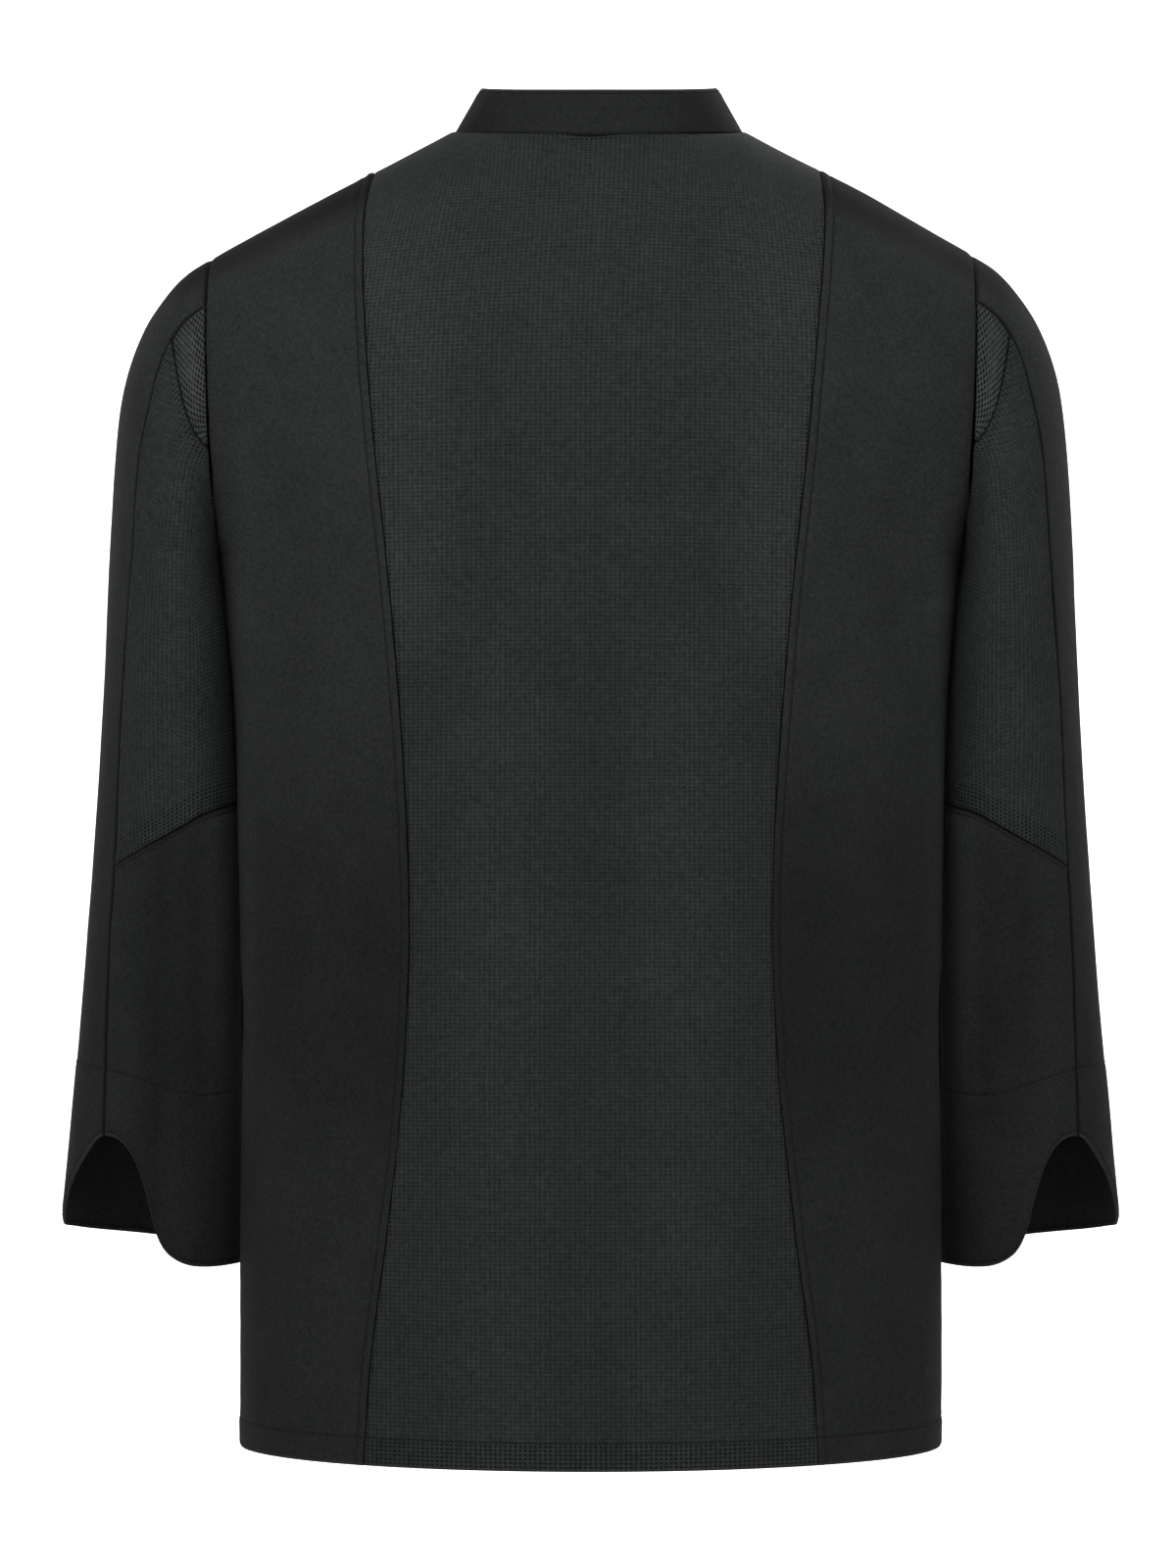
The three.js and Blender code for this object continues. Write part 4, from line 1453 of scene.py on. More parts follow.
@dataclass(frozen=True)
class MeshBuilder:
    """Makes a smooth mesh object of one material from arrays."""

    name: str
    material: bpy.types.Material

    def make(self, points: Array, faces: Array, layers: Optional[Layers] = None) -> bpy.types.Object:
        """Make the object.

        Args:
            points: Its points.
            faces: The indices of each face's points, three or four a face.
            layers: Two coordinates of each point by name, where its finish needs them.

        Returns:
            The object, linked to the scene.
        """
        mesh = bpy.data.meshes.new(self.name)
        corners = faces.shape[1]
        mesh.vertices.add(len(points))
        mesh.vertices.foreach_set("co", points.astype(np.float32).ravel())
        mesh.loops.add(faces.size)
        mesh.loops.foreach_set("vertex_index", faces.astype(np.int32).ravel())
        mesh.polygons.add(len(faces))
        mesh.polygons.foreach_set("loop_start", np.arange(0, faces.size, corners, dtype=np.int32))
        mesh.polygons.foreach_set("use_smooth", np.ones(len(faces), dtype=bool))
        for name, values in (layers or {}).items():
            layer = mesh.uv_layers.new(name=name)
            layer.data.foreach_set("uv", values[faces.ravel()].astype(np.float32).ravel())
        mesh.update(calc_edges=True)
        mesh.validate()
        mesh.materials.append(self.material)
        piece = bpy.data.objects.new(self.name, mesh)
        bpy.context.scene.collection.objects.link(piece)
        return piece


@dataclass
class Stitching:
    """Lines of stitches, joined into one mesh."""

    name: str
    length: float = 1.9 * MM
    pitch: float = 2.6 * MM
    radius: float = 0.30 * MM
    flatness: float = 1.25
    stand_share: float = 0.35
    jitter: float = 0.06
    jitter_length: float = 3.1 * MM
    jitter_seed: int = 71
    sides: int = 6
    rings: int = 4
    points: list[Array] = field(default_factory=list)
    faces: list[Array] = field(default_factory=list)
    count: int = 0

    def template(self) -> tuple[Array, Array]:
        """Return the points and triangles of one stitch that lies along x and stands up along z.

        Returns:
            The points and the triangles.
        """
        turns = np.linspace(0, 2 * np.pi, self.sides, endpoint=False)
        lengths = np.linspace(-1, 1, self.rings + 2)[1:-1]
        rings = [
            np.stack([np.full(self.sides, at), np.cos(turns) * width, np.sin(turns) * width], axis=-1)
            for at, width in ((at, math.sqrt(1 - at * at)) for at in lengths)
        ]
        points = np.concatenate([[[-1.0, 0, 0]], *rings, [[1.0, 0, 0]]])
        points = points * np.array([self.length / 2, self.radius * self.flatness, self.radius])
        return points, turned_faces(self.rings, self.sides)

    def sew(self, line: Line) -> None:
        """Lay stitches along a line of points and normals.

        Args:
            line: The points and the normals.
        """
        path, normals = line
        lengths = np.concatenate([[0.0], np.cumsum(np.linalg.norm(np.diff(path, axis=0), axis=-1))])
        total = lengths[-1]
        count = int(total / self.pitch)
        if count < 1:
            return
        middles = (np.arange(count) + 0.5) * total / count
        jitter = soft_noise(middles, self.jitter_length, self.jitter_seed) * self.jitter * MM

        def read(values: Array, places: Array) -> Array:
            """Read values along the line."""
            return np.stack([np.interp(places, lengths, values[:, axis]) for axis in range(3)], axis=-1)

        middle = read(path, middles)
        ahead = read(path, middles + self.length / 2) - read(path, middles - self.length / 2)
        ahead = ahead / np.linalg.norm(ahead, axis=-1, keepdims=True)
        up = read(normals, middles)
        aside = np.cross(up, ahead)
        aside = aside / np.linalg.norm(aside, axis=-1, keepdims=True)
        up = np.cross(ahead, aside)
        middle = middle + up * (self.stand_share * self.radius) + aside * jitter[:, None]
        points, faces = self.template()
        placed = (
            middle[:, None]
            + points[None, :, 0:1] * ahead[:, None]
            + points[None, :, 1:2] * aside[:, None]
            + points[None, :, 2:3] * up[:, None]
        )
        shifts = self.count + np.arange(count) * len(points)
        self.points.append(placed.reshape(-1, 3))
        self.faces.append((faces[None] + shifts[:, None, None]).reshape(-1, 3))
        self.count += count * len(points)

    def build(self, material: bpy.types.Material) -> bpy.types.Object:
        """Make the stitches one piece.

        Args:
            material: The material of the thread.

        Returns:
            The object.
        """
        points, faces = np.concatenate(self.points), np.concatenate(self.faces)
        piece = MeshBuilder(self.name, material).make(points, faces)
        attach(piece, BODY)
        LOG.info("%s: %d faces", piece.name, len(piece.data.polygons))
        return piece


class PaintedLight(NamedTuple):
    """A part of the jacket where light is painted into a cloth's colour, or painted shade where the share is
    below 0.

    Each of its masks, as Socket.mask reads them, is laid over how far a place lies from the middle, how far
    back, how high, or how far below the line of the shoulder seam. Together they bound the part.
    """

    share: float
    aside: tuple[Range, ...] = ()
    back: tuple[Range, ...] = ()
    height: tuple[Range, ...] = ()
    below_shoulder: tuple[Range, ...] = ()


# Painted light and shade on the twill, one row each: shoulder blades, waist, shoulders, beside the neck,
# beside the sleeves, side edges, low sides
TWILL_PAINTED_LIGHT = (
    PaintedLight(0.42, height=((-0.50, -0.14), (-0.01, -0.075))),
    PaintedLight(-0.24, aside=((0.262, 0.235),), height=((-0.62, -0.32, 0.12),)),
    PaintedLight(-0.92, aside=((0.085, 0.105),), back=((-0.045, -0.02),), below_shoulder=((0.026, 0.005),)),
    PaintedLight(-0.34, aside=((0.040, 0.066),), back=((-0.02, 0.02),), height=((-0.012, -0.006),)),
    PaintedLight(0.22, aside=((0.160, 0.225, 0.030),), height=((-0.62, -0.15, 0.10),)),
    PaintedLight(0.50, aside=((0.180, 0.222, 0.014),), height=((-0.60, -0.17, 0.10),)),
    PaintedLight(-0.14, aside=((0.150, 0.190),), height=((-0.56, -0.64),)),
)

# Painted light and shade on the mesh cloth, one row each: upper back, sleeves, shoulder blades, waist,
# shoulders
MESH_PAINTED_LIGHT = (
    PaintedLight(0.14, height=((-0.45, -0.05),)),
    PaintedLight(0.11, aside=((0.18, 0.20),)),
    PaintedLight(0.24, aside=((0.06, 0.10), (0.18, 0.14)), height=((-0.32, -0.02, 0.06),)),
    PaintedLight(0.13, aside=((0.005, 0.095, 0.04),), height=((-0.24, -0.36),)),
    PaintedLight(-0.24, aside=((0.05, 0.09), (0.18, 0.14)), below_shoulder=((0.025, 0.0),)),
)


def painted_light_factor(tree: ShaderTree, whole: float, shades: Sequence[PaintedLight]) -> Socket:
    """Return a factor that paints light and shade into a cloth's colour over the jacket: above 1 for painted
    light, below 1 for painted shade.

    Args:
        tree: The nodes of the cloth's material.
        whole: The factor where no light or shade is painted.
        shades: The patches of painted light and shade.

    Returns:
        The factor.
    """
    aside, back, height = tree.split_place()
    places = (aside, back, height, SHOULDER_RISE - height - aside * SHOULDER_SLOPE)
    factor: Any = whole
    for shade in shades:
        part: Any = shade.share
        for place, masks in zip(places, shade[1:]):
            for limits in masks:
                part = place.mask(limits) * part
        factor = part + factor
    return factor


@dataclass(frozen=True)
class TwillFinish:
    """Plain black twill: fine slanted ribs, mottled by the yarn."""

    name: str = "twill"
    dark: Rgb = Rgb(26, 27, 27)
    light: Rgb = Rgb(42, 44, 43)
    rib: float = 1.1 * MM
    relief: float = 0.16 * MM
    roughness: float = 0.86
    specular: float = 0.06
    shades: tuple[PaintedLight, ...] = TWILL_PAINTED_LIGHT

    def build(self) -> bpy.types.Material:
        """Make the material.

        Returns:
            The material.
        """
        tree = ShaderTree.named(self.name)
        across, up = tree.layer("flat")
        ribs = ((across + up) * (2 * math.pi / self.rib)).wave()
        yarn = tree.noise(900.0, 3.0)
        grain = tree.noise(520.0, 3.0)
        patches = tree.noise(38.0, 3.0)
        shade = ribs * 0.3 + yarn * 1.4 + grain * 1.5 + patches * 0.5 - 1.35
        cloth = tree.blend(shade, self.dark.shaded(), self.light.shaded())
        return tree.surface(
            # Painted light and shade over the jacket scale the twill's colour; seams and stitching get
            # painted shade, folded edges a painted highlight
            base_color=tree.sewn(tree.scaled(cloth, painted_light_factor(tree, 1.0, self.shades))),
            roughness=yarn * 0.1 + (self.roughness - 0.05),
            normal=tree.bump(ribs * 0.6 + yarn * 0.8, self.relief),
            specular_ior_level=self.specular,
        )


@dataclass(frozen=True)
class MeshFinish:
    """Knitted mesh cloth with a lattice of small holes."""

    name: str
    cloth: Rgb
    hole: Rgb
    column_pitch: float
    row_pitch: float
    hole_power: float
    strength: float
    staggered: bool = False
    band_height: float = 0.0
    band_strength: float = 0.0
    band_soft: float = 0.5 * MM
    relief: float = 0.35 * MM
    roughness: float = 0.82
    specular: float = 0.07
    dark: float = 0.68
    light: float = 1.36
    seam_fade: Range = millimetres(3.6, 4.6)
    seam_share: float = 0.4
    whole: float = 0.95
    shades: tuple[PaintedLight, ...] = MESH_PAINTED_LIGHT

    def holes(self, across: Socket, up: Socket) -> Socket:
        """Return how much of a hole there is at each place, from 0 to 1.

        Args:
            across: The place across the cloth, in metres.
            up: The place up the cloth, in metres.

        Returns:
            The share of a hole.
        """
        column = across * (2 * math.pi / self.column_pitch)
        row = up * (2 * math.pi / self.row_pitch)
        lattice = (column.wave() * row.wave()) ** self.hole_power
        if not self.staggered:
            return lattice
        between = ((column + math.pi).wave() * (row + math.pi).wave()) ** self.hole_power
        return lattice + between

    def build(self) -> bpy.types.Material:
        """Make the material.

        Returns:
            The material.
        """
        tree = ShaderTree.named(self.name)
        across, up = tree.layer("flat")
        yarn = tree.noise(800.0, 3.0)
        grain = tree.noise(330.0, 3.0)
        patches = tree.noise(30.0, 3.0)
        holes = self.holes(across, up)
        seam, _ = tree.layer("edges")
        beside_seam = 1.0 - seam.step(*self.seam_fade)
        strength: Any = beside_seam * self.seam_share + self.strength
        if self.band_height > 0:
            band = 1.0 - up.step(self.band_height - self.band_soft, self.band_height + self.band_soft)
            strength = strength.math("MAXIMUM", band * self.band_strength)
        shade = yarn * 1.3 + grain * 1.6 + patches * 0.5 - 1.2
        cloth = tree.blend(shade, self.cloth.shaded(self.dark), self.cloth.shaded(self.light))
        # Painted light and shade over the jacket scale the mesh cloth's colour
        cloth = tree.scaled(cloth, painted_light_factor(tree, self.whole, self.shades))
        knitted = tree.blend(holes * strength, cloth, self.hole.shaded())
        return tree.surface(
            # Painted shade in seams and along stitching, a painted highlight on folded edges
            base_color=tree.sewn(knitted),
            roughness=self.roughness,
            normal=tree.bump(yarn * 0.5 - holes * strength + 1.0, self.relief),
            specular_ior_level=self.specular,
        )


@dataclass(frozen=True)
class SmallFinish:
    """Black thread or moulded plastic, speckled by a fine noise that can also change its roughness."""

    name: str
    colour: Rgb
    dark: float
    light: float
    grain: float
    detail: float
    relief: float
    roughness: float
    specular: float
    wear: float = 0.0

    def build(self) -> bpy.types.Material:
        """Make the material.

        Returns:
            The material.
        """
        tree = ShaderTree.named(self.name)
        speckle = tree.noise(self.grain, self.detail)
        return tree.surface(
            base_color=tree.blend(speckle, self.colour.shaded(self.dark), self.colour.shaded(self.light)),
            roughness=speckle * self.wear + self.roughness if self.wear else self.roughness,
            normal=tree.bump(speckle, self.relief),
            specular_ior_level=self.specular,
        )


@dataclass(frozen=True)
class StageFinish:
    """A plain white studio backdrop that is lit to white."""

    name: str = "backdrop"
    colour: Rgb = Rgb(244, 244, 244)
    glow: float = 0.98
    glow_from: float = -1.346
    glow_to: float = -1.30

    def build(self) -> bpy.types.Material:
        """Make the material.

        Returns:
            The material.
        """
        tree = ShaderTree.named(self.name)
        grain = tree.noise(6.0, 2.0)
        light = self.colour.shaded()
        _, _, height = tree.separate(tree.object_place())
        glow = tree.blend(height.step(self.glow_from, self.glow_to), (0.0, 0.0, 0.0, 1.0), light)
        return tree.surface(
            base_color=light,
            roughness=grain * 0.1 + 0.85,
            emission_color=glow,
            emission_strength=self.glow,
            specular_ior_level=0.1,
        )


@dataclass(frozen=True)
class Finishes:
    """All the finishes of the jacket, made once."""

    of: dict[Cloth, bpy.types.Material]
    thread: bpy.types.Material

    @classmethod
    def make(cls) -> "Finishes":
        """Make each material.

        Returns:
            The finishes.
        """
        twill = TwillFinish()
        mesh = MeshFinish(
            name="mesh_cloth",
            cloth=Rgb(42, 44, 44),
            hole=Rgb(11, 12, 12),
            column_pitch=2.7 * MM,
            row_pitch=2.2 * MM,
            hole_power=1.5,
            strength=0.75,
            band_height=15 * MM,
            band_strength=1.5,
        )
        open_mesh = MeshFinish(
            name="open_mesh",
            cloth=Rgb(56, 58, 58),
            hole=Rgb(8, 8, 9),
            column_pitch=5.2 * MM,
            row_pitch=2.6 * MM,
            hole_power=2.0,
            strength=0.95,
            staggered=True,
        )
        thread = SmallFinish(
            name="thread",
            colour=Rgb(26, 27, 27),
            dark=0.7,
            light=1.4,
            grain=1600.0,
            detail=2.0,
            relief=0.08 * MM,
            roughness=0.62,
            specular=0.12,
        )
        button = SmallFinish(
            name="button_plastic",
            colour=Rgb(21, 21, 22),
            dark=0.85,
            light=1.35,
            grain=420.0,
            detail=4.0,
            relief=0.03 * MM,
            roughness=0.30,
            specular=0.45,
            wear=0.16,
        )
        cloths = (Cloth.TWILL, Cloth.MESH, Cloth.OPEN_MESH, Cloth.BUTTON)
        made = {cloth: finish.build() for cloth, finish in zip(cloths, (twill, mesh, open_mesh, button))}
        return cls(made, thread.build())


BACK_CREASES = (
    Crease(0.0250, -0.0101, -0.0240, -0.0101, 0.0014, -0.0032),
    Crease(0.118, -0.290, 0.129, -0.600, 0.026, -0.0044, 0.004),
    Crease(-0.116, -0.300, -0.130, -0.590, 0.025, -0.0042, -0.005),
    Crease(0.070, -0.300, 0.074, -0.660, 0.024, 0.0024, 0.003),
    Crease(-0.072, -0.310, -0.070, -0.640, 0.022, 0.0021, 0.004),
    Crease(0.012, -0.330, -0.006, -0.600, 0.026, -0.0022, 0.005),
    Crease(0.150, -0.300, 0.196, -0.262, 0.009, -0.0016, 0.004),
    Crease(0.138, -0.345, 0.194, -0.318, 0.008, 0.0011, -0.003),
    Crease(-0.146, -0.292, -0.198, -0.258, 0.009, -0.0015, -0.004),
    Crease(-0.150, -0.352, -0.192, -0.330, 0.007, 0.0010, 0.002),
    Crease(0.115, -0.110, 0.196, -0.168, 0.012, -0.0010, 0.006),
    Crease(-0.118, -0.104, -0.197, -0.160, 0.012, -0.0011, -0.005),
    Crease(0.034, -0.560, 0.046, -0.726, 0.012, -0.0010, 0.004),
    Crease(-0.052, -0.500, -0.040, -0.716, 0.014, 0.0012, -0.003),
    Crease(-0.070, -0.360, 0.030, -0.388, 0.012, -0.0007, 0.004),
    Crease(0.010, -0.060, 0.070, -0.052, 0.010, -0.0006, 0.003),
)
FRONT_CREASES = (
    Crease(0.110, -0.250, 0.192, -0.250, 0.012, -0.0022, 0.010),
    Crease(0.120, -0.300, 0.190, -0.290, 0.010, 0.0016, 0.008),
    Crease(-0.112, -0.262, -0.192, -0.252, 0.012, -0.0022, -0.009),
    Crease(-0.100, -0.330, -0.190, -0.306, 0.010, 0.0014, -0.007),
    Crease(0.086, -0.110, 0.180, -0.185, 0.014, -0.0014, 0.008),
    Crease(-0.090, -0.116, -0.182, -0.178, 0.014, -0.0013, -0.007),
    Crease(0.072, -0.470, 0.092, -0.722, 0.016, -0.0018, 0.006),
    Crease(0.130, -0.430, 0.146, -0.700, 0.015, 0.0016, -0.005),
    Crease(-0.064, -0.450, -0.078, -0.716, 0.016, -0.0017, -0.006),
    Crease(-0.124, -0.480, -0.138, -0.722, 0.015, 0.0016, 0.004),
    Crease(0.002, -0.330, 0.074, -0.356, 0.012, -0.0009, 0.004),
)
SLEEVE_BACK_CREASES = (
    Crease(0.204, -0.352, 0.262, -0.402, 0.008, -0.0013, 0.004),
    Crease(0.200, -0.395, 0.250, -0.372, 0.007, 0.0009, -0.003),
    Crease(0.206, -0.290, 0.258, -0.236, 0.010, -0.0014, 0.005),
    Crease(0.208, -0.258, 0.244, -0.186, 0.008, 0.0010, 0.004),
    Crease(0.210, -0.470, 0.268, -0.440, 0.009, -0.0010, 0.003),
    Crease(0.250, -0.520, 0.272, -0.420, 0.010, 0.0009, 0.003),
)
SLEEVE_FRONT_CREASES = (
    Crease(0.200, -0.372, 0.270, -0.410, 0.009, -0.0022, 0.005),
    Crease(0.198, -0.400, 0.266, -0.442, 0.009, 0.0017, 0.004),
    Crease(0.202, -0.350, 0.262, -0.360, 0.008, -0.0018, -0.004),
    Crease(0.208, -0.292, 0.262, -0.222, 0.011, -0.0018, 0.006),
    Crease(0.206, -0.262, 0.240, -0.172, 0.009, 0.0013, 0.004),
    Crease(0.214, -0.480, 0.272, -0.530, 0.010, -0.0013, 0.004),
)


@dataclass
class Body:
    """The back, the side backs and the fronts."""

    form: BodyForm = field(default_factory=BodyForm)
    hem_width: float = 15 * MM
    overlap_edge: float = 0.060
    underlap_edge: float = 0.020
    overlap_raise: float = 2.5 * MM
    raise_start: float = 0.052
    raise_end: float = 0.026
    topstitch: float = 4.7 * MM
    side_fullness: float = 1.8 * MM
    side_heights: tuple[float, float] = (-0.50, -0.20)
    shoulder_place: float = 0.9985
    skirt_length: float = 0.4955
    armhole_length: float = 0.088
    shoulder_length: float = 0.13
    centre_width: float = 0.24
    side_width: float = 0.115
    front_width: float = 0.33
    panels: dict[str, ClothPanel] = field(default_factory=dict)

    def rows(self) -> Array:
        """Lay out the rows of a body panel, closer at the hem and at the shoulder.

        Returns:
            Their places from 0 to 1.
        """
        skirt = graded_places(self.skirt_length, UP_STEP, HEM_STEPS, ())[:-1]
        armhole = graded_places(self.armhole_length, UP_STEP, (), ())[:-1] + 1
        shoulder = graded_places(self.shoulder_length, UP_STEP, ()) * self.shoulder_place + 2
        return np.concatenate([skirt, armhole, shoulder]) / 3

    def centre_surface(self, across: Array, up: Array) -> Array:
        """Return points of the centre back."""
        row = up * 3
        return self.form.point(True, (1 - 2 * across) * self.form.back_seam_column(row), row)

    def side_surface(self, side: float) -> Surface:
        """Return the surface of a side back, which on the left runs from its side seam inwards.

        Args:
            side: 1 on the wearer's left and -1 on the right.

        Returns:
            The surface.
        """

        def surface(across: Array, up: Array) -> Array:
            """Return points of the panel."""
            row = up * 3
            from_side = across if side > 0 else 1 - across
            return self.form.point(True, side * mix(1, self.form.back_seam_column(row), from_side), row)

        return surface

    def front_column(self, row: Array, past_middle: float) -> Array:
        """Return the column of a front's free edge, past the middle, on each row."""
        return self.form.column_at(False, row, lambda height: np.full_like(height, past_middle))

    def front_surface(self, side: float, past_middle: float) -> Surface:
        """Return the surface of a front, from its free edge to the side on the wearer's left.

        Args:
            side: 1 on the wearer's left and -1 on the right.
            past_middle: How far the front's free edge lies past the middle.

        Returns:
            The surface.
        """
        top_column = float(self.front_column(np.array([3.0]), past_middle)[0])

        def surface(across: Array, up: Array) -> Array:
            """Return points of the panel."""
            row = up * 3
            column = mix(-top_column, 1, across if side > 0 else 1 - across)
            edge = self.front_column(np.asarray(row, float), past_middle) / top_column
            column = np.where(column >= 0, column, column * edge)
            return self.form.point(False, side * column, row)

        return surface

    def build(self) -> None:
        """Lay out the panels and give each its relief."""
        rows = self.rows()
        seam_column = float(self.form.back_seam_column(np.array([3.0]))[0])
        neck_share = self.form.neck_column / seam_column
        corners = ((1 - neck_share) / 2, (1 + neck_share) / 2)
        columns = graded_places(self.centre_width, ACROSS_STEP, corners=corners)
        surface = self.centre_surface
        self.panels["centre"] = ClothPanel("back_center", Cloth.MESH, surface, columns, rows, seed=3)
        side_columns = graded_places(self.side_width, ACROSS_STEP, EDGE_STEPS, TOPSTITCH_STEPS)
        for name, side, seed in (("left", 1.0, 17), ("right", -1.0, 29)):
            surface = self.side_surface(side)
            self.panels[f"side_{name}"] = ClothPanel(
                f"back_side_{name}", Cloth.TWILL, surface, side_columns, rows, seed, side < 0
            )
            self.panels[f"side_{name}"].stand_out(Edge.START, self.side_fullness, *self.side_heights)
        self.add_front("left", 1.0, self.overlap_edge, rows, 41)
        self.add_front("right", -1.0, self.underlap_edge, rows, 53)
        self.shape_backs()
        self.shape_fronts()

    def add_front(self, name: str, side: float, past_middle: float, rows: Array, seed: int) -> None:
        """Lay out one front.

        Args:
            name: Which front it is.
            side: 1 on the wearer's left and -1 on the right.
            past_middle: How far its free edge lies past the middle.
            rows: The rows of its grid.
            seed: The number of its random waves.
        """
        top_column = float(self.front_column(np.array([3.0]), past_middle)[0])
        corner = (self.form.neck_column + top_column) / (1 + top_column)
        columns = graded_places(self.front_width, ACROSS_STEP, TOPSTITCH_STEPS, EDGE_STEPS, (corner,))
        if side < 0:
            columns = 1 - columns[::-1]
        surface = self.front_surface(side, past_middle)
        free_edge, side_edge = (Edge.START, Edge.END) if side > 0 else (Edge.END, Edge.START)
        front = ClothPanel(f"front_{name}", Cloth.TWILL, surface, columns, rows, seed)
        front.free = (Edge.BOTTOM, free_edge)
        front.stand_out(side_edge, self.side_fullness, *self.side_heights)
        self.panels[f"front_{name}"] = front

    def shape_backs(self) -> None:
        """Give the back panels their seams, hem, stitching and creases."""
        centre = self.panels["centre"]
        for edge in (Edge.START, Edge.END):
            centre.round_edge(edge, 0.4 * MM, 1.1 * MM)
            centre.seam_pucker(edge, 0.20 * MM, 8 * MM)
        for name in ("side_left", "side_right"):
            side = self.panels[name]
            side.round_edge(Edge.END, 0.35 * MM, 0.9 * MM)
            side.doubled(Edge.END, self.topstitch, 0.4 * MM)
            side.stitched_channel(Edge.END, self.topstitch, 0.42 * MM)
            side.seam_pucker(Edge.END, 0.34 * MM, 11 * MM)
            side.round_edge(Edge.START, 0.7 * MM, 1.6 * MM)
            side.seam_pucker(Edge.START, 0.22 * MM)
        for panel in (centre, self.panels["side_left"], self.panels["side_right"]):
            self.finish_ends(panel)
            panel.creases(BACK_CREASES, True)

    def shape_fronts(self) -> None:
        """Give the fronts their overlap, edges, stitching and creases."""
        for name, free_edge, side_edge in (
            ("front_left", Edge.START, Edge.END),
            ("front_right", Edge.END, Edge.START),
        ):
            front = self.panels[name]
            front.round_edge(free_edge, 0.9 * MM, 1.2 * MM)
            front.stitched_channel(free_edge, self.topstitch, 0.3 * MM)
            front.seam_pucker(free_edge, 0.15 * MM)
            front.round_edge(side_edge, 0.7 * MM, 1.6 * MM)
            front.seam_pucker(side_edge, 0.22 * MM)
            self.finish_ends(front)
            front.creases(FRONT_CREASES, False)
        left = self.panels["front_left"]
        x = left.sheet.points[..., 0]
        left.lift += self.overlap_raise * smooth((self.raise_start - x) / (self.raise_start - self.raise_end))

    def finish_ends(self, panel: ClothPanel) -> None:
        """Turn up the hem, round the top edge and make the cloth uneven.

        Args:
            panel: The panel.
        """
        panel.doubled(Edge.BOTTOM, self.hem_width, 0.45 * MM)
        panel.stitched_channel(Edge.BOTTOM, self.hem_width, 0.24 * MM)
        panel.round_edge(Edge.BOTTOM, 0.8 * MM, 1.1 * MM)
        panel.seam_pucker(Edge.BOTTOM, 0.18 * MM, 14 * MM)
        panel.round_edge(Edge.TOP, 0.5 * MM, 1.4 * MM)
        panel.seam_pucker(Edge.TOP, 0.16 * MM)
        panel.unevenness()

    def sew(self, thread: Stitching) -> None:
        """Sew the hem, the back seams and the free edges of the fronts.

        Args:
            thread: The stitches that take the lines.
        """
        for panel in self.panels.values():
            thread.sew(panel.beside(Edge.BOTTOM, self.hem_width, (0.004, 0.996)))
        for name in ("side_left", "side_right"):
            thread.sew(self.panels[name].beside(Edge.END, self.topstitch, (0.002, 0.996)))
        thread.sew(self.panels["front_left"].beside(Edge.START, self.topstitch, (0.002, 0.996)))
        thread.sew(self.panels["front_right"].beside(Edge.END, self.topstitch, (0.002, 0.996)))

    def dress(self, finishes: Finishes) -> None:
        """Make each panel with its cloth."""
        for panel in self.panels.values():
            declare_cloth(panel, finishes)


def declare_cloth(panel: ClothPanel, finishes: Finishes) -> None:
    """Args:
        panel: The panel.
        finishes: The materials of its cloth and the others.
    """
    piece = panel.build(finishes.of[panel.cloth])
    width = float(panel.sheet.from_start[-1, :].max())
    length = float(panel.sheet.from_bottom[:, -1].max())
    steps_across = np.diff(panel.sheet.points, axis=0)[:, :-1]
    steps_up = np.diff(panel.sheet.points, axis=1)[:-1, :]
    area = float(np.linalg.norm(np.cross(steps_across, steps_up), axis=-1).sum())
    width = max(width, area / length)
    LOG.info("%s: cut %.3f by %.3f m, %.4f square metres", piece.name, width, length, area)


@dataclass
class Collar:
    """The low band collar."""

    form: CollarForm = field(default_factory=CollarForm)
    length: float = 0.47
    height: float = 0.024
    topstitch: float = 2.4 * MM
    overhang: float = 1.7 * MM
    overhang_width: float = 26 * MM
    overhang_height: float = 5 * MM
    fine_step: float = 1.2 * MM
    panel: Optional[ClothPanel] = None

    def build(self) -> None:
        """Lay out the band and give it its relief."""
        columns = graded_places(self.length, UP_STEP)
        tucked = np.linspace(-self.form.tuck_share, 0, 8)[:-1]
        shown = graded_places(self.height, self.fine_step)
        rows = np.concatenate([tucked, shown])
        panel = ClothPanel("collar", Cloth.TWILL, self.form.point, columns, rows, 67, wall=COLLAR_WALL)
        panel.free = (Edge.TOP, Edge.START, Edge.END)
        panel.round_edge(Edge.TOP, 0.9 * MM, 1.1 * MM)
        panel.stitched_channel(Edge.TOP, self.topstitch, 0.25 * MM)
        panel.round_edge(Edge.START, 0.8 * MM, 1.1 * MM)
        panel.round_edge(Edge.END, 0.8 * MM, 1.1 * MM)
        panel.unevenness(0.3 * MM)
        x, y, _ = np.moveaxis(panel.sheet.points, -1, 0)
        above_seam = panel.sheet.from_bottom - self.form.tuck_share * self.height
        behind = np.where(y > 0, bump(x, self.overhang_width), 0.0)
        panel.lift += self.overhang * behind * bump(above_seam, self.overhang_height)
        self.panel = panel

    def sew(self, thread: Stitching) -> None:
        """Sew the band below its top edge."""
        thread.sew(self.panel.beside(Edge.TOP, self.topstitch, (0.005, 0.995)))

    def dress(self, finishes: Finishes) -> None:
        """Make the band with its cloth."""
        declare_cloth(self.panel, finishes)


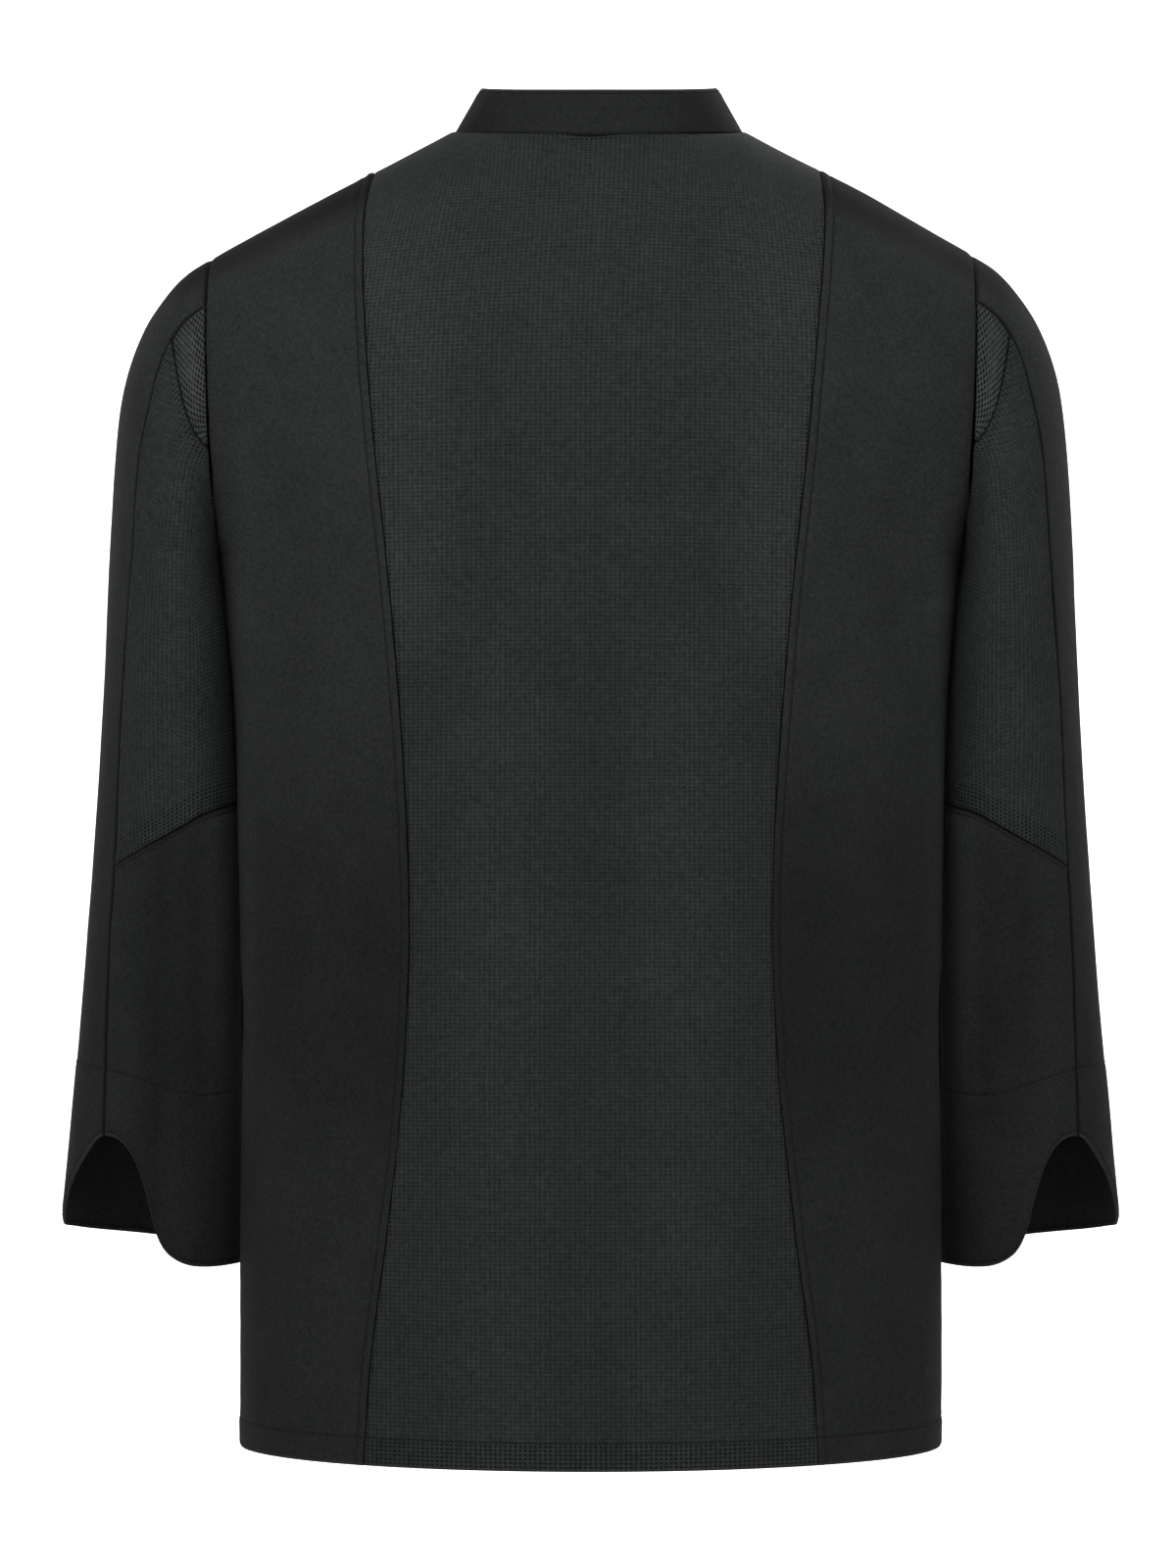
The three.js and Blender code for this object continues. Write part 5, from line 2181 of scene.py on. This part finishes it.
@dataclass
class Sleeve:
    """One sleeve: its outer panel, its two back panels and the open gusset."""

    name: str
    flipped: bool
    seed: int
    form: SleeveForm = field(default_factory=SleeveForm)
    outer_width: float = 0.29
    back_width: float = 0.13
    upper_length: float = 0.23
    lower_length: float = 0.20
    gusset_length: float = 0.045
    gusset_width: float = 0.075
    gusset_sink: float = 1.4 * MM
    gusset_tip_place: float = 0.97
    whole_length: float = 0.53
    elbow_stitch: float = 2.6 * MM
    cuff_stitch: float = 2.6 * MM
    # How many times wider the painted seam shade is on the sleeve's panels, and on its outer panel
    seam_width: float = 1.7
    outer_seam_width: float = 3.2
    facing_x: Range = (0.1934, 0.2917)
    facing_z: Range = (-0.535, -0.524)
    facing_front_z: float = -0.540
    facing_sag: float = 0.0216
    facing_turn_y: float = -0.03
    facing_turn_reach: float = 0.05
    facing_sunk: float = 0.4 * MM
    facing_raise: float = 0.3 * MM
    panels: dict[str, ClothPanel] = field(default_factory=dict)

    def strip(self, start: float, end: float, high: Limit, low: Limit) -> Surface:
        """Return the surface of a panel between two angles and two limits along the sleeve.

        Args:
            start: The angle of its first edge.
            end: The angle of its last edge.
            high: Its limit nearer the armhole, at each angle.
            low: Its limit nearer the cuff, at each angle.

        Returns:
            The surface.
        """

        def surface(across: Array, up: Array) -> Array:
            """Return points of the panel."""
            angle = mix(start, end, across)
            return self.form.point(mix(low(angle), high(angle), up), angle)

        return surface

    def add(self, part: str, cloth: Cloth, surface: Surface, across: Array, up: Array, seed: int) -> None:
        """Lay out one panel.

        Args:
            part: The panel's name within the sleeve.
            cloth: Its cloth.
            surface: Its surface on the left sleeve.
            across: The places across its grid.
            up: The places up its grid.
            seed: The number of its random waves within the sleeve.
        """
        node = f"sleeve_{self.name}_{part}"
        surface = mirrored(surface) if self.flipped else surface
        self.panels[part] = ClothPanel(node, cloth, surface, across, up, self.seed + seed, self.flipped)

    def build(self) -> None:
        """Lay out the panels and give each its relief."""
        form = self.form
        underarm, seam = form.underarm_angle, form.back_seam_angle
        outer = self.strip(underarm + 360, seam, form.armhole, form.cuff)
        upper = self.strip(seam, underarm, form.gusset_fold, form.elbow)
        lower = self.strip(seam, underarm, form.elbow, form.cuff)
        tip = mix(seam, form.gusset_tip_angle, self.gusset_tip_place)
        gusset = self.strip(seam, tip, form.armhole, form.gusset_fold)
        outer_columns = graded_places(self.outer_width, ACROSS_STEP * 0.8, EDGE_STEPS, TOPSTITCH_STEPS)
        outer_rows = graded_places(self.whole_length, FINE_STEP * 1.3, TOPSTITCH_STEPS)
        back_columns = graded_places(self.back_width, ACROSS_STEP * 0.6)
        upper_rows = graded_places(self.upper_length, FINE_STEP * 1.3)
        lower_rows = graded_places(self.lower_length, FINE_STEP, TOPSTITCH_STEPS)
        gusset_columns = graded_places(self.gusset_width, FINE_STEP)
        gusset_rows = graded_places(self.gusset_length, FINE_STEP)
        self.add("outer", Cloth.TWILL, outer, outer_columns, outer_rows, 1)
        self.add("upper_back", Cloth.MESH, upper, back_columns, upper_rows, 2)
        self.add("lower_back", Cloth.TWILL, lower, back_columns, lower_rows, 3)
        self.add("gusset", Cloth.OPEN_MESH, gusset, gusset_columns, gusset_rows, 4)
        self.shape()

    def shape(self) -> None:
        """Give the panels their seams, edges and creases."""
        outer, upper = self.panels["outer"], self.panels["upper_back"]
        lower, gusset = self.panels["lower_back"], self.panels["gusset"]
        for panel in (outer, upper, lower):
            for edge in (Edge.START, Edge.END):
                panel.round_edge(edge, 0.6 * MM, 1.4 * MM)
                panel.seam_pucker(edge, 0.2 * MM)
        for panel in (outer, upper):
            panel.round_edge(Edge.TOP, 0.7 * MM, 1.6 * MM)
            panel.seam_pucker(Edge.TOP, 0.25 * MM, 10 * MM)
        upper.round_edge(Edge.BOTTOM, 0.6 * MM, 1.4 * MM)
        upper.seam_pucker(Edge.BOTTOM, 0.2 * MM)
        lower.doubled(Edge.TOP, self.elbow_stitch, 0.35 * MM)
        lower.stitched_channel(Edge.TOP, self.elbow_stitch, 0.3 * MM)
        for panel in (outer, lower):
            panel.round_edge(Edge.BOTTOM, 0.8 * MM, 1.1 * MM)
            panel.stitched_channel(Edge.BOTTOM, self.cuff_stitch, 0.25 * MM)
            self.facing_line(panel)
        # These panels have no folded edges: all their edges get painted seam shade
        upper.free = gusset.free = ()
        for panel in (outer, upper, lower, gusset):
            panel.seam_width = self.seam_width
        outer.seam_width = self.outer_seam_width
        gusset.lift -= self.gusset_sink * (1 - smooth(gusset.sheet.from_bottom / (self.gusset_length * 0.8)))
        mirror = -1.0 if self.flipped else 1.0
        for panel in self.panels.values():
            panel.unevenness(0.4 * MM)
            for creases, is_back in ((SLEEVE_BACK_CREASES, True), (SLEEVE_FRONT_CREASES, False)):
                panel.creases([place_on_side(crease, mirror, self.seed) for crease in creases], is_back)

    def facing_height(self, panel: ClothPanel) -> Array:
        """Return how far each point of a panel lies above the upper edge of the facing inside the cuff.

        Args:
            panel: The panel.

        Returns:
            The heights, in metres.
        """
        x, y, z = np.moveaxis(panel.sheet.points, -1, 0)
        held = np.clip((np.abs(x) - self.facing_x[0]) / (self.facing_x[1] - self.facing_x[0]), 0, 1)
        back = mix(*self.facing_z, held) - self.facing_sag * np.sin(np.pi * held) * (1 - held) ** 2
        return z - mix(back, self.facing_front_z, smooth((self.facing_turn_y - y) / self.facing_turn_reach))

    def facing_line(self, panel: ClothPanel) -> None:
        """Sink the stitching that holds the facing inside the cuff.

        Args:
            panel: The panel.
        """
        above = self.facing_height(panel)
        panel.above_facing = above
        panel.lift -= self.facing_sunk * bump(above, 1.7 * MM)
        panel.lift += self.facing_raise * (1 - smooth((above + 1.0 * MM) / (3 * MM)))

    def sew(self, thread: Stitching) -> None:
        """Sew the elbow seam, the cuff and the facing.

        Args:
            thread: The stitches that take the lines.
        """
        outer, lower = self.panels["outer"], self.panels["lower_back"]
        thread.sew(lower.beside(Edge.TOP, self.elbow_stitch, (0.01, 0.99)))
        for panel in (outer, lower):
            thread.sew(panel.beside(Edge.BOTTOM, self.cuff_stitch, (0.01, 0.99)))
            thread.sew(self.facing_path(panel))

    def facing_path(self, panel: ClothPanel) -> Line:
        """Return the line of the facing's stitching across a panel.

        Args:
            panel: The panel.

        Returns:
            The points and normals.
        """
        above = self.facing_height(panel)
        lines = panel.lift.shape[0]
        crossing = np.array([crossing_index(above[line], 0.0) for line in range(lines)])
        columns = np.linspace(0.01, 0.99, 3 * lines) * (lines - 1)
        return panel.place(columns, np.interp(columns, np.arange(lines), crossing))

    def dress(self, finishes: Finishes) -> None:
        """Make each panel with its cloth."""
        for panel in self.panels.values():
            declare_cloth(panel, finishes)


def place_on_side(crease: Crease, mirror: float, seed: int) -> Crease:
    """Return a sleeve's crease on one side, moved a little so that the two sleeves differ.

    Args:
        crease: The crease as laid on the left sleeve.
        mirror: 1 on the wearer's left and -1 on the right.
        seed: The sleeve's own number.

    Returns:
        The crease on that sleeve.
    """
    shift = CREASE_SHIFT * math.sin(seed * 1.7 + crease.start_z * 40)
    scale = 1.0 + CREASE_SCALE * math.sin(seed + crease.end_z * 31)
    return replace(
        crease,
        start_x=crease.start_x * mirror,
        start_z=crease.start_z + shift,
        end_x=crease.end_x * mirror,
        end_z=crease.end_z + shift * 0.6,
        depth=crease.depth * scale,
        bend=crease.bend * mirror,
    )


@dataclass
class Buttons:
    """The row of buttons that closes the front, each with a rim, four holes and its thread."""

    body: Body
    count: int = 7
    radius: float = 8.5 * MM
    thickness: float = 3.2 * MM
    inset: float = 0.018
    first_z: float = -0.088
    last_z: float = -0.600
    stand_off: float = 0.3 * MM
    rim: float = 1.6 * MM
    dish: float = 0.9 * MM
    hole_radius: float = 0.95 * MM
    hole_distance: float = 1.9 * MM
    hole_columns: float = 2.6
    hole_rows: float = 0.26
    hole_places: int = 30
    segments: int = 48

    def profile(self) -> list[Point]:
        """Lay out the section of a button from its back middle round its rim to its front middle.

        Returns:
            How far out and how high each corner lies.
        """
        half, outer = self.thickness / 2, self.radius
        return [
            (0.0, -half),
            (outer - 1.2 * MM, -half),
            (outer - 0.4 * MM, -half + 0.3 * MM),
            (outer, -half + 1.0 * MM),
            (outer, half - 0.9 * MM),
            (outer - 0.3 * MM, half - 0.25 * MM),
            (outer - 0.9 * MM, half),
            (outer - self.rim, half - 0.1 * MM),
            (outer - self.rim - 0.5 * MM, half - self.dish * 0.6),
            (outer - self.rim - 1.4 * MM, half - self.dish),
            (0.0, half - self.dish),
        ]

    def turned(self, profile: Sequence[Point], centre: Point) -> tuple[Array, Array]:
        """Turn a section round an upright axis.

        Args:
            profile: How far out and how high each corner of the section is.
            centre: The place of the axis.

        Returns:
            The points and the triangles.
        """
        turns = np.linspace(0, 2 * np.pi, self.segments, endpoint=False)
        across, up = np.cos(turns), np.sin(turns)
        rings = [
            vectors(across * out + centre[0], up * out + centre[1], np.array(height))
            for out, height in profile[1:-1]
        ]
        start, end = (np.array([[*centre, height]]) for _, height in (profile[0], profile[-1]))
        return np.concatenate([start, *rings, end]), turned_faces(len(rings), self.segments)

    def spots(self) -> list[tuple[int, int]]:
        """Find the place of each button on the front that lies on top.

        Returns:
            The line and the row of the front's grid at each button.
        """
        outer = self.body.panels["front_left"].outer
        x = -self.body.overlap_edge + self.inset
        misses = [
            (outer[..., 0] - x) ** 2 + (outer[..., 2] - height) ** 2
            for height in np.linspace(self.first_z, self.last_z, self.count)
        ]
        return [np.unravel_index(int(np.argmin(miss)), miss.shape) for miss in misses]

    def places(self) -> list[tuple[Array, Array]]:
        """Find where each button sits.

        Returns:
            Its middle and its outward direction.
        """
        panel = self.body.panels["front_left"]
        outer, normals = panel.outer, panel.sheet.normals
        height = self.thickness / 2 + self.stand_off
        return [(outer[spot] + normals[spot] * height, normals[spot]) for spot in self.spots()]

    def sew_holes(self, finishes: Finishes) -> None:
        """Sew a buttonhole under each button, as two close rows of stitches.

        Args:
            finishes: The materials of the jacket.
        """
        panel = self.body.panels["front_left"]
        thread = Stitching("buttonholes", length=1.5 * MM, pitch=0.8 * MM, radius=0.34 * MM)
        for line, row in self.spots():
            columns = np.linspace(line - self.hole_columns, line + self.hole_columns, self.hole_places)
            for side in (-1, 1):
                thread.sew(panel.place(columns, np.full(self.hole_places, row + side * self.hole_rows)))
        thread.build(finishes.thread)

    def dress(self, finishes: Finishes) -> None:
        """Make each button, with its thread sunk in its dish.

        Args:
            finishes: The materials of the jacket.
        """
        for number, (middle, normal) in enumerate(self.places(), start=1):
            side = np.cross([0.0, 0.0, 1.0], normal)
            side = side / np.linalg.norm(side)
            frame_axes = np.stack([side, np.cross(normal, side), normal])
            points, faces = self.turned(self.profile(), (0.0, 0.0))
            builder = MeshBuilder(f"button_{number}_turned", finishes.of[Cloth.BUTTON])
            button = builder.make(points @ frame_axes + middle, faces)
            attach(button, BODY)
            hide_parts(f"button_{number}")
            self.sew_on(number, middle, frame_axes, finishes)
        self.sew_holes(finishes)
        LOG.info("buttons: %d made", self.count)

    def sew_on(self, number: int, middle: Array, axes: Array, finishes: Finishes) -> None:
        """Make the four small discs of thread that sit in the holes of one button.

        Args:
            number: The button's number.
            middle: Its middle.
            axes: Its three directions.
            finishes: The materials of the jacket.
        """
        height = self.thickness / 2 - self.dish
        hole = [
            (0.0, height + 0.02 * MM),
            (self.hole_radius * 0.8, height + 0.03 * MM),
            (self.hole_radius, height + 0.05 * MM),
            (self.hole_radius * 1.12, height - 0.1 * MM),
            (0.0, height - 0.2 * MM),
        ]
        points, faces, count = [], [], 0
        for turn in range(4):
            angle = math.pi / 4 + turn * math.pi / 2
            centre = (math.cos(angle) * self.hole_distance, math.sin(angle) * self.hole_distance)
            ring_points, ring_faces = self.turned(hole[::-1], centre)
            points.append(ring_points)
            faces.append(ring_faces + count)
            count += len(ring_points)
        sewn = np.concatenate(points) @ axes + middle
        piece = MeshBuilder(f"button_{number}_thread", finishes.thread).make(sewn, np.concatenate(faces))
        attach(piece, BODY)


class SoftLight(NamedTuple):
    """A soft square light that faces the jacket's middle, in metres and watts."""

    name: str
    place: tuple[float, float, float]
    size: float
    power: float


LIGHTS = (
    SoftLight("key", (0.25, 1.7, 1.0), 1.2, 27.5),
    SoftLight("fill_left", (1.9, 2.2, 0.5), 1.6, 8.8),
    SoftLight("fill_right", (-1.9, 2.2, 0.5), 1.6, 8.8),
    SoftLight("front_key", (-1.4, -2.2, 1.6), 1.8, 30.0),
)


@dataclass
class Studio:
    """The camera, the white backdrop and the soft lights."""

    lens: float = 81.8
    sensor: float = 24.0
    wall_y: float = -3.2
    floor_z: float = -1.35
    half_width: float = 6.0
    height: float = 6.0
    bend: float = 1.2
    bend_points: int = 17
    depth: float = 9.0
    surroundings: float = 0.30

    def build_camera(self) -> None:
        """Make the camera that looks at the back of the jacket."""
        data = bpy.data.cameras.new("camera")
        data.sensor_fit = "VERTICAL"
        data.sensor_height = self.sensor
        data.lens = self.lens
        camera = bpy.data.objects.new("camera", data)
        camera.location = (CAMERA_SIDE, CAMERA_DISTANCE, CAMERA_HEIGHT)
        camera.rotation_euler = (math.pi / 2, 0.0, math.pi)
        bpy.context.scene.collection.objects.link(camera)
        bpy.context.scene.camera = camera

    def build_backdrop(self) -> None:
        """Make the floor that bends up into the wall behind the jacket."""
        turns = np.linspace(0, math.pi / 2, self.bend_points)
        bend_y = self.wall_y + self.bend - self.bend * np.sin(turns)
        bend_z = self.floor_z + self.bend - self.bend * np.cos(turns)
        line_y = np.concatenate([[self.depth], bend_y, [self.wall_y]])
        line_z = np.concatenate([[self.floor_z], bend_z, [self.height]])
        count = len(line_y)
        points = np.concatenate(
            [np.stack([np.full(count, side * self.half_width), line_y, line_z], -1) for side in (-1, 1)]
        )
        index = np.arange(count - 1)
        faces = np.stack([index, index + 1, index + 1 + count, index + count], -1)
        backdrop = MeshBuilder("backdrop", StageFinish().build()).make(points, faces)

    def add_light(self, soft: SoftLight) -> None:
        """Add a light.

        Args:
            soft: Its name, place, size and power.
        """
        data = bpy.data.lights.new(soft.name, "AREA")
        data.size = soft.size
        data.energy = soft.power
        light = bpy.data.objects.new(soft.name, data)
        light.location = soft.place
        target = np.array([0.0, 0.0, CAMERA_HEIGHT]) - np.array(soft.place)
        tilt = math.atan2(math.hypot(target[0], target[1]), -target[2])
        light.rotation_euler = (tilt, 0.0, math.atan2(target[1], target[0]) - math.pi / 2)
        bpy.context.scene.collection.objects.link(light)

    def build_lights(self) -> None:
        """Make the lights and the even white surroundings."""
        for soft in LIGHTS:
            self.add_light(soft)
        world = bpy.data.worlds.new("surroundings")
        world.use_nodes = True
        background = world.node_tree.nodes["Background"]
        background.inputs["Color"].default_value = (1.0, 1.0, 1.0, 1.0)
        background.inputs["Strength"].default_value = self.surroundings
        bpy.context.scene.world = world
        bpy.context.scene.view_settings.view_transform = "Standard"


def main() -> None:
    """Build the jacket and the studio."""
    logging.basicConfig(level=logging.INFO, format="%(message)s")
    studio = Studio()
    studio.build_camera()
    finishes = Finishes.make()
    body = Body()
    collar = Collar()
    sleeves = [Sleeve("left", False, 100), Sleeve("right", True, 200)]
    thread = Stitching("stitches")
    for part in (body, collar, *sleeves):
        part.build()
        part.sew(thread)
        part.dress(finishes)
    thread.build(finishes.thread)
    Buttons(body).dress(finishes)
    studio.build_backdrop()
    studio.build_lights()


if __name__ == "__main__":
    main()
